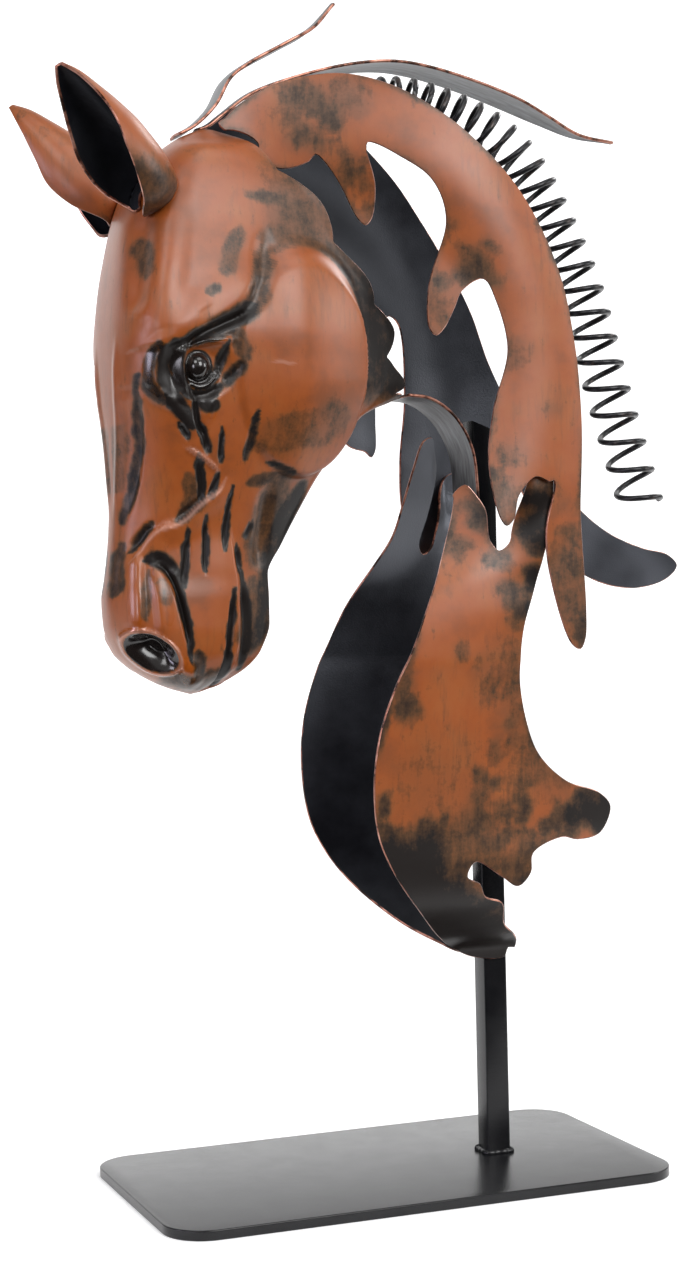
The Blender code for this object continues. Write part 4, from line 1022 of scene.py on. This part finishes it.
# strength, half width, points
soot_and_shade_strokes = [
    (1.0, 3.4, [(-93.5, 327.4), (-87, 328.4), (-83, 330.6), (-77.2, 333.8), (-71.2, 336.6)]),
    (1.1, 4.6, [(-80, 332.4), (-74, 335.2), (-68, 337.6), (-62.5, 340.6), (-59, 344)]),
    (0.55, 4.6, [(-51.8, 366.5), (-53.2, 359.2), (-54.9, 353.4), (-57, 347.4), (-59.6, 342)]),
    (0.5, 3.2, [(-66, 336), (-64.4, 330), (-62.4, 325.5)]),
    (1.2, 2.6, [(-89.5, 330.5), (-92.2, 325), (-92.8, 319), (-91.4, 313), (-88, 308.6)]),
    (0.8, 2.8, [(-94, 328.8), (-97.2, 325), (-98, 319), (-96.6, 312.8), (-92.6, 308)]),
    (1.1, 3.4, [(-84.5, 330), (-87.6, 325), (-88.2, 319), (-87, 313.4), (-83.5, 309.6)]),
    # band under the lower lid: black in its groove, and painted shadow of the lid
    (1.2, 2.4, [(-86, 311), (-83, 309.8), (-79.6, 309.6), (-75.5, 310.4), (-71, 313.4)]),
    (0.95, 2.2, [(-68.6, 330), (-70.4, 325), (-71.9, 320), (-73.5, 316)]),
    (0.8, 2.8, [(-63, 323.6), (-65.4, 319), (-69, 315)]),
    (0.8, 1.6, [(-79.5, 330.4), (-73, 332), (-66.5, 333.8)]),
    (1.5, 3.2, [(-91.8, 310.4), (-88, 306.6), (-84.8, 303), (-82, 299.4)]),
    (1.1, 3.0, [(-78.8, 308.6), (-76, 306.6), (-74, 306.4)]),
    (1.2, 2.1, [(-78.8, 300.5), (-77.0, 295), (-75.6, 289.2)]),
    (0.9, 1.7, [(-51, 285.8), (-46, 284.6), (-41.4, 282.9)]),
    (1.2, 1.9, [(-79.3, 288.2), (-78.0, 280), (-76.6, 271.2)]),
    (0.5, 3.4, [(-82.4, 281), (-80.8, 274), (-83, 268)]),
    (1.1, 1.2, [(-82.2, 261.6), (-82, 257.5)]),
    (1.3, 2.3, [(-82, 256.8), (-82.6, 249), (-84.2, 239.4)]),
    (0.9, 2.0, [(-55.4, 263.6), (-57.8, 257.6)]),
    (1.0, 1.8, [(-61.8, 253.6), (-61, 244.6)]),
    (1.2, 1.9, [(-64.2, 236.6), (-65.8, 218), (-66.6, 208.3)]),
    (1.5, 2.6, [(-66, 216), (-66.8, 207), (-67.8, 200.5)]),
    (0.8, 2.0, [(-101.6, 318), (-100.8, 306), (-99.9, 296), (-99.9, 284), (-101.6, 272), (-103.4, 263)]),
    (0.6, 2.2, [(-104, 256), (-105.6, 247), (-106.6, 236)]),
    (0.9, 2.2, [(-101.8, 252.8), (-98.6, 258), (-95, 262.4)]),
    (1.2, 2.0, [(-97.4, 248.6), (-91.8, 246.8), (-88.0, 242.4), (-85.2, 234.5), (-83.1, 226.2),
            (-81.6, 218.5), (-80.6, 211)]),
    (1.2, 3.6, [(-96, 249.2), (-91, 247.6), (-86.6, 243)]),
    (0.45, 2.0, [(-97.4, 245), (-98.2, 234), (-98, 226)]),
    (0.35, 3.4, [(-92.8, 241), (-90.6, 235)]),
    (1.1, 2.6, [(-60.2, 244), (-57.8, 232), (-57, 221), (-58.5, 207)]),
    # wide strokes on the rear of the jaw, under the cheek: painted shade as well as black
    (1.0, 6.0, [(-33, 277), (-40, 264), (-45, 252), (-49, 243)]),
    (0.55, 9.0, [(-42, 279), (-48, 264), (-53, 248)]),
    (0.9, 5.0, [(-50, 243), (-49, 231), (-51, 222), (-56, 213)]),
    (0.5, 8.0, [(-54, 240), (-54, 228), (-58, 218)]),
    (0.6, 4.6, [(-66, 207), (-72, 203.5), (-80, 202), (-88, 204)]),
    (0.8, 3.2, [(-78, 214), (-77, 209), (-78, 204)]),
    (0.6, 3.0, [(-41, 281.4), (-50, 279.6), (-58, 277.5)]),
    (0.5, 4.0, [(-27, 381), (-36, 382.5), (-45, 385), (-56, 386)]),
    (0.45, 4.5, [(-30, 371), (-42, 371.4), (-53, 370)]),
    (0.5, 4.0, [(-98.4, 369), (-97.6, 362), (-98.6, 355)]),
    (0.7, 2.2, [(-77, 347.4), (-72.6, 349)]),
    (0.45, 4.0, [(-61, 372), (-66, 364), (-69, 356)]),
    (0.4, 3.4, [(-33, 298.6), (-37, 297)]),
    # wide, weak stroke over the lower cheek: painted shade
    (0.34, 9.0, [(-56, 292), (-46, 297), (-34, 300), (-22, 306)]),
    (0.35, 3.0, [(-104.4, 300), (-104.8, 288), (-104.6, 276)])]
gloss_strokes = [
    (0.85, 3.4, [(-86, 328), (-88.6, 323.6), (-89.2, 319), (-88, 314.4), (-86, 311.6)]),
    (0.8, 3.2, [(-93.6, 329), (-97.4, 325), (-98.4, 320), (-97.2, 315), (-94.4, 310.6)]),
    (0.8, 2.2, [(-84.8, 317), (-82.3, 314), (-79.2, 313.1), (-75.8, 314.1), (-72.6, 317.6)]),
    (0.6, 2.0, [(-84.8, 326), (-82, 328.4), (-78.2, 329.6), (-70.5, 331)]),
    (0.4, 4.4, [(-91.5, 310), (-87.6, 306), (-83, 300)]),
    (0.4, 3.6, [(-78, 308.8), (-75, 306.6), (-74.6, 302.6)]),
    (0.5, 4.0, [(-100.4, 250), (-101.4, 240), (-101.2, 224)]),
    (0.4, 5.0, [(-95.5, 243), (-92, 235), (-90, 225)]),
    (0.9, 5.0, [(-82.6, 211), (-82, 207.5), (-81.6, 205)]),
    (0.6, 1.8, HIGH_VEIN)]
# bare copper where the black is worn off; on the veins it also paints their highlight
rubbed_and_highlight_strokes = [
    (0.42, 1.3, LOW_VEIN),
    (0.42, 1.3, HIGH_VEIN),
    (0.45, 0.9, [(-52.8, 322.3), (-49.4, 323.2), (-46.6, 322.4), (-44.4, 322.9)])]
bridge_edge = [(14.8, 336), (13.4, 317), (10.8, 299), (7, 281), (3.5, 266)]


# %% Relief of the head
DISC_DOME, DISC_STEP, DISC_REAR_STEP, DISC_UPPER_EDGE = 2.4, 1.0, 3.6, 3.4
SOCKET_DEPTH, EYEBALL_RISE, NOSTRIL_RIM, NOSTRIL_DEPTH, BRIDGE_RISE = 2.8, 4.0, 1.1, 6.5, 0.9


def strongest(x, z, strokes, widening, gain, fading):
    """The strongest of several strokes at each place."""
    shares = []
    for strength, width, line in strokes:
        share = stroke_share(x, z, line, widening * width, widening * width, fading)
        shares.append(strength * smooth(gain * share))
    return np.max(shares, axis=0)


def relief_heights(points, normals):
    """How far each point is pressed out, how black it is (black wiped on, and painted shade), how glossy,
    and how rubbed (bare copper, which also paints highlights).
    """
    x, y, z = points.T
    disc, ball, hole = (oval_ring(x, z, oval) for oval in (DISC, EYEBALL, NOSTRIL))
    rear = smooth((x - DISC[0] + 22) / 22)
    bevel = DISC_EDGE + DISC_UPPER_EDGE * smooth((z - 338) / 20)
    rise = DISC_DOME * np.maximum(0, 1 - disc ** 2)
    rise += (DISC_STEP + DISC_REAR_STEP * rear) * smooth((1 - disc) * DISC[2] / (2 * bevel) + 0.5)
    rise -= SOCKET_DEPTH * smooth((1.25 - oval_ring(x, z, SOCKET)) / 0.6)
    off_ball = smooth((ball - 0.9) / 0.3)
    for height, first, second, _, _, line in presses:
        rise += height * stroke_share(x, z, line, first, second, 1.0) * off_ball
    for height, first, second, line in eye_folds:
        rise += height * stroke_share(x, z, line, first, second, 1.0, 1) * off_ball
    rise += EYEBALL_RISE * np.maximum(0, 1 - ball ** 2) ** 0.7
    rise += NOSTRIL_RIM * smooth(1 - np.abs(hole - 1.03) / 0.19)
    rise -= NOSTRIL_DEPTH * smooth((0.96 - hole) / 0.6)
    bridge = stroke_share(np.abs(y), z, bridge_edge, 5.0, 5.0, 1.0) * smooth(-normals[:, 0] * 3 - 0.6)

    wave_x = x + wander(x, z, 2.6, 0.5, 1.7) + wander(x, z, 8, 1.2, 3.2)
    wave_z = z + wander(x, z, 2.6, 0.5, 8.3) + wander(x, z, 8, 1.2, 5.4)
    dark_strokes = soot_and_shade_strokes + [row[3:] for row in presses if row[3]]
    soot_and_shade = strongest(wave_x, wave_z, dark_strokes, 1.4, 1.4, 0.3)
    # painted shade: black beyond the rear of the cheek's raised disc, where its step shades the rim
    behind_disc = rear * smooth((disc - 1.01) / 0.07) * smooth((z - 303) / 14)
    soot_and_shade = np.maximum(soot_and_shade, behind_disc * (0.95 - 0.5 * smooth((z - 352) / 20)))
    soot_and_shade = np.maximum(soot_and_shade, 1.2 * smooth((1.30 - ball) / 0.15)) * smooth((hole - 1.08) / 0.1)
    soot_and_shade = np.maximum(soot_and_shade, 2.0 * smooth((0.97 - hole) / 0.08))
    gloss = np.maximum(smooth((1.15 - ball) / 0.1), 0.9 * smooth((1.25 - hole) / 0.1))
    gloss = np.maximum(gloss, strongest(x, z, gloss_strokes, 1, 1.6, 0.4))
    # bare copper on the nostril's rim and the vein lines, also painting their highlight
    rubbed_and_highlight = np.maximum(0.8 * smooth(1 - np.abs(hole - 1.06) / 0.12),
                        strongest(x, z, rubbed_and_highlight_strokes, 1, 1.6, 0.6))
    sideways = smooth((np.abs(normals[:, 1]) - 0.12) / 0.3)
    return (rise * sideways + BRIDGE_RISE * bridge, soot_and_shade * smooth(np.abs(y) / 3), gloss * sideways,
            rubbed_and_highlight * sideways)


# %% Press the relief and give the sheet its thickness
form_normals = point_normals(head_points, head_faces)
head_rise, *head_marks = relief_heights(head_points, form_normals)
deepest = head_rise.copy()
for side in (1, -1):
    shape = (len(heights), OPEN_COLUMNS + 1)
    table = np.array([[numbers[side][r, c] for c in range(shape[1])] for r in range(shape[0])])
    lowest = head_rise[table]
    for axis in (0, 1):
        spread = np.pad(lowest, [(PANEL, PANEL) if a == axis else (0, 0) for a in (0, 1)], mode="edge")
        lowest = np.min([np.take(spread, range(k, k + shape[axis]), axis=axis)
                         for k in range(2 * PANEL + 1)], axis=0)
    deepest[table] = lowest
pressed = (head_points + form_normals * head_rise[:, None]) * MM
head = thick_piece("head_pressing", pressed, head_faces, (copper, black, edge),
                   head_inner_faces, (head_rise - deepest) * MM)
for kind, shares in zip(("soot_and_shade", "gloss", "rubbed_and_highlight"), head_marks):
    mark(head, kind, shares)
settle(head, "head_shell")

# %% [markdown]
# ## Ears
#
# Each ear is a leaf of sheet rolled into a cone that opens forward. Stations along its length give
# the radius of the roll, where the opening looks and how wide it gapes. The foot follows the head:
# a ray from each foot point finds the head's surface, which is how a fitter would scribe the joint.

# %% Ears
ear_stations = [(-0.03, 5.6, -52, 12, 3.8), (0.00, 8.6, -46, 28, 3.6), (0.05, 11.6, -40, 46, 3.0),
                (0.12, 13.4, -30, 55, 2.1), (0.28, 14.6, -16, 58, 0.5), (0.45, 13.9, -6, 61, 0),
                (0.63, 11.3, 0, 75, 0), (0.78, 8.3, 3, 85, 0), (0.90, 5.5, 3, 91, 0),
                (1.0, 1.6, 3, 95, 0)]
EAR_CLEARANCE, EAR_SINK, EAR_REACH = 0.5 * MM, 2.0 * MM, 60 * MM
EAR_ROOT, EAR_TIP, EAR_FACING = (-93, 25, 380.5), (-131.5, 39, 429), (-0.81, 0.59, 0)
head_tree = BVHTree.FromPolygons([Vector(v) for v in pressed], head_faces)


def rolled_ear(side, around, count):
    """A leaf rolled round an axis that leans outward, its foot cut to the head's surface."""
    root, tip, facing = (Vector((x, y * side, z)) for x, y, z in (EAR_ROOT, EAR_TIP, EAR_FACING))
    root, tip = root * MM, tip * MM
    axis = (tip - root).normalized()
    front = (facing - axis * facing.dot(axis)).normalized()
    across = axis.cross(front)
    verts, runs = [], np.linspace(-0.03, 1.0, count)
    for run in runs:
        radius, turned, gape, setback = (float(along(ear_stations, c, run)) for c in (1, 2, 3, 4))
        centre = root + (tip - root) * float(run) - front * setback * MM
        for i in range(around + 1):
            angle = math.radians(gape - turned * side + (360 - 2 * gape) * i / around)
            spot = centre + radius * MM * (front * math.cos(angle) + across * math.sin(angle))
            hit = head_tree.ray_cast(spot + axis * EAR_REACH, -axis)[0]
            least = (hit - spot).dot(axis) + EAR_CLEARANCE if hit else 0.0
            lowest = -EAR_SINK if run == runs[0] else 0.0
            verts.append(spot + axis * max(least, lowest))
    return verts, net(count, around + 1)


for label, side in (("left", -1), ("right", 1)):
    ear = thick_piece(label + "_ear_leaf", *rolled_ear(side, 64, 44), (copper, black, edge))
    co = coords(ear)
    # darker at the foot, painted shade where the ear meets the head, and a little darker toward the tip
    rise = (co[:, 2] / MM - 380 - 0.5 * (np.abs(co[:, 1]) / MM - EAR_ROOT[1])) / 48
    mark(ear, "soot_and_shade", 0.55 * smooth((0.32 - rise) / 0.3) + 0.35 * smooth((rise - 0.75) / 0.3))
    settle(ear, label + "_ear")

# %% [markdown]
# ## Strips
#
# Three bands of steel are left in their grey-brown heat colour. One bends from the throat down to
# the post, one stands over the crest like a long leaf, and a short one springs up as the forelock.

# %% Strips
def band(centre, half_width, rows, spacing, crown):
    """A strip along a centre line, its edges dropped by the crown."""
    line = curve_through(centre, spacing) * MM
    verts = []
    for i, ((x, z), run) in enumerate(zip(line, run_shares(line))):
        ahead, behind = line[min(i + 1, len(line) - 1)], line[max(i - 1, 0)]
        way = Vector((ahead[0] - behind[0], 0, ahead[1] - behind[1])).normalized()
        up = Vector((-way.z, 0, way.x))
        for k in range(rows + 1):
            across = 2 * k / rows - 1
            verts.append(Vector((x, half_width(run) * across, z)) - up * crown * across ** 2)
    return verts, net(len(line), rows + 1, turned=True)


def leaf(root_share, full_width, tip_width):
    def half_width(run):
        swell = root_share + (1 - root_share) * smooth(run / 0.45)
        return full_width * swell * (1 - (1 - tip_width) * smooth((run - 0.72) / 0.28))
    return half_width


throat_line = [(14.6, 313.2), (24, 312), (33, 306.5), (39, 299), (42.8, 290), (44.3, 276),
               (44.6, 262)]
crest_line = [(-68, 416), (-64, 417.6), (-58.5, 421.8), (-46, 431), (-22, 440), (-2, 444.6),
              (14, 446), (28, 444.6), (48, 440), (67, 434), (83, 427.5), (97, 422), (114, 419.6)]
forelock_line = [(-76.5, 413.5), (-70.5, 416.8), (-62, 425), (-55.5, 436), (-47, 442.5),
                 (-31, 451.5), (-20, 458), (-9.9, 468.5)]
for name, node, line, width, crown in (
        ("throat_band", "throat_strip", throat_line, lambda run: 12 * MM, 0.0),
        ("crest_band", "crest_strip", crest_line, leaf(0.4, 10 * MM, 0.15), 0.6 * MM),
        ("forelock_band", "forelock_strip", forelock_line, leaf(0.9, 7.5 * MM, 0.3), 0.5 * MM)):
    strip = thick_piece(name, *band(line, width, 10, 1.5, crown), (strip_steel, strip_steel, edge))
    settle(strip, node)

# %% [markdown]
# ## Mane spring
#
# The mane is a coil spring, pulled out more and more toward its lower end. A curve object with a
# round bevel would do, but a wire built ring by ring can follow exactly the line that the solid
# uses, and its cut ends stay flat.

# %% Mane spring
WIRE_RADIUS, COIL_RADIUS, COIL_CLEARANCE = 1.15 * MM, 8.3 * MM, 0.45 * MM
COIL_TURNS, COIL_END_PITCH, COIL_LOOK = 25, 1.75, 0.01
spring_line = [(-4, 425.5), (10, 425.5), (24, 421.5), (35.5, 416.5), (45.5, 410.5), (54.5, 402),
               (62, 391), (70.5, 375), (79.5, 355.5), (85.3, 337), (90.6, 317), (95.7, 300),
               (101, 283), (106, 267)]
coil_path = curve_through(spring_line, 2.0) * MM
coil_runs = run_shares(coil_path)


def coil_place(run):
    return [float(np.interp(run, coil_runs, coil_path[:, c])) for c in (0, 1)]


def wound_wire(per_turn, sides):
    """A round wire wound round the spring's path, wider apart toward the lower end."""
    steps = COIL_TURNS * per_turn
    centres = []
    for step in range(steps + 1):
        turn = step / steps
        run = turn * (1 + (COIL_END_PITCH - 1) * turn) / COIL_END_PITCH
        x, z = coil_place(run)
        (x2, z2), (x1, z1) = coil_place(min(run + COIL_LOOK, 1)), coil_place(max(run - COIL_LOOK, 0))
        out = Vector((z1 - z2, 0, x2 - x1)).normalized()
        y = COIL_CLEARANCE + WIRE_RADIUS + COIL_RADIUS - (neck_half(x, z) - SHEET)
        phase = 2 * math.pi * COIL_TURNS * turn
        centres.append(Vector((x, y, z)) + COIL_RADIUS * (
            out * math.cos(phase) + Vector((0, 1, 0)) * math.sin(phase)))
    verts = []
    for i, centre in enumerate(centres):
        way = (centres[min(i + 1, steps)] - centres[max(i - 1, 0)]).normalized()
        across = way.cross(Vector((0.3, 0.2, 1))).normalized()
        up = across.cross(way)
        for k in range(sides):
            angle = 2 * math.pi * k / sides
            verts.append(centre + WIRE_RADIUS * (across * math.cos(angle) + up * math.sin(angle)))
    cut_ends = [tuple(range(sides)), tuple(range(steps * sides, (steps + 1) * sides))[::-1]]
    return verts, cut_ends + net(steps + 1, sides, ring=True, turned=True)


spring = mesh_object("mane_coil", *wound_wire(28, 12), [wire.material])
spring.data.shade_smooth()
spring.data.set_sharp_from_angle(angle=math.radians(60))
settle(spring, "mane_spring")
print("wire points:", len(spring.data.vertices))

# %% [markdown]
# ## Base plate and post
#
# The base is a black plate with round corners and a slightly rounded top edge. The post is square
# tube. Both solids already have the right shape, but their corners are faceted, so they are built
# again with more steps and softer edges, and the post gets the weld bead round its foot.

# %% Base plate
BASE_LENGTH, BASE_WIDTH, BASE_THICKNESS, BASE_CORNER = 210 * MM, 120 * MM, 4 * MM, 17 * MM
BASE_EDGE = 0.5 * MM


def rounded_plate(corner_steps, edge_steps):
    profile = [(BASE_EDGE * (1 - math.sin(t)), BASE_EDGE * (1 - math.cos(t)))
               for t in np.linspace(0, math.pi / 2, edge_steps)]
    levels = profile + [(inset, BASE_THICKNESS - z) for inset, z in reversed(profile)]
    rings = []
    for inset, z in levels:
        ring = []
        for quarter in range(4):
            cx = (1, -1, -1, 1)[quarter] * (BASE_LENGTH / 2 - BASE_CORNER)
            cy = (1, 1, -1, -1)[quarter] * (BASE_WIDTH / 2 - BASE_CORNER)
            for step in range(corner_steps + 1):
                turn = math.radians(90 * (quarter + step / corner_steps))
                reach = BASE_CORNER - inset
                ring.append((cx + reach * math.cos(turn), cy + reach * math.sin(turn), z))
        rings.append(ring)
    size, count = len(rings[0]), len(rings)
    flats = [tuple(range(size))[::-1], tuple(range((count - 1) * size, count * size))]
    return [v for ring in rings for v in ring], flats + net(count, size, ring=True)


plate = mesh_object("base_slab", *rounded_plate(16, 5), [stand_black.material])
plate.data.shade_smooth()
plate.data.set_sharp_from_angle(angle=math.radians(40))
settle(plate, "base_plate")

# %% Post with its weld bead
POST_WALL, POST_X, POST_TOP, POST_TOP_DROP, POST_EDGE, INNER_EDGE = (
    v * MM for v in (1, 50, 303, 4, 0.7, 0.2))
BEAD_RADIUS, BEAD_OUT, BEAD_CORNER, BEAD_STEP = (v * MM for v in (1.3, 0.5, 1.6, 0.8))


def square_ring(half, corner, steps, height_at):
    ring = []
    for quarter in range(4):
        cx, cy = (1, -1, -1, 1)[quarter] * (half - corner), (1, 1, -1, -1)[quarter] * (half - corner)
        for step in range(steps + 1):
            turn = math.radians(90 * (quarter + step / steps))
            x, y = cx + corner * math.cos(turn), cy + corner * math.sin(turn)
            ring.append((POST_X + x, y, height_at(x)))
    return ring


def post_tube():
    cut = lambda x: POST_TOP - POST_TOP_DROP * (0.5 + x / POST_SIDE)
    foot = lambda x: BASE_THICKNESS + WELD_GAP
    outer, inner = POST_SIDE / 2, POST_SIDE / 2 - POST_WALL
    rings = [square_ring(inner, INNER_EDGE, 4, foot), square_ring(outer, POST_EDGE, 4, foot),
             square_ring(outer, POST_EDGE, 4, cut), square_ring(inner, INNER_EDGE, 4, cut)]
    return [v for ring in rings for v in ring], net(len(rings), len(rings[0]), ring=True, loop=True)


def weld_bead(path, radius, seed, sides=8):
    """A bead of small overlapping ripples along a closed path."""
    verts, count = [], len(path)
    for i, spot in enumerate(path):
        way = (path[(i + 1) % count] - path[i - 1]).normalized()
        across = way.cross(Vector((0, 0, 1))).normalized()
        swell = radius * (1 + 0.28 * noise.noise(Vector((i * 0.9, seed, 0))) + 0.12 * math.sin(i * 2.1))
        for k in range(sides):
            angle = 2 * math.pi * k / sides
            verts.append(spot + swell * (across * math.cos(angle) + Vector((0, 0, 1)) * math.sin(angle)))
    return verts, net(count, sides, ring=True, loop=True)


post = mesh_object("post_tube", *post_tube(), [stand_black.material])
post.data.shade_smooth()
post.data.set_sharp_from_angle(angle=math.radians(40))
settle(post, "post")
foot_ring = square_ring(POST_SIDE / 2 + BEAD_OUT, BEAD_CORNER, 4, lambda x: BASE_THICKNESS + BEAD_OUT)
foot_path = [Vector(p) for p in curve_through(foot_ring, BEAD_STEP, closed=True)]
bead = mesh_object("post_weld", *weld_bead(foot_path, BEAD_RADIUS, 2.0), [stand_black.material])
bead.data.shade_smooth()
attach(bead, "root")
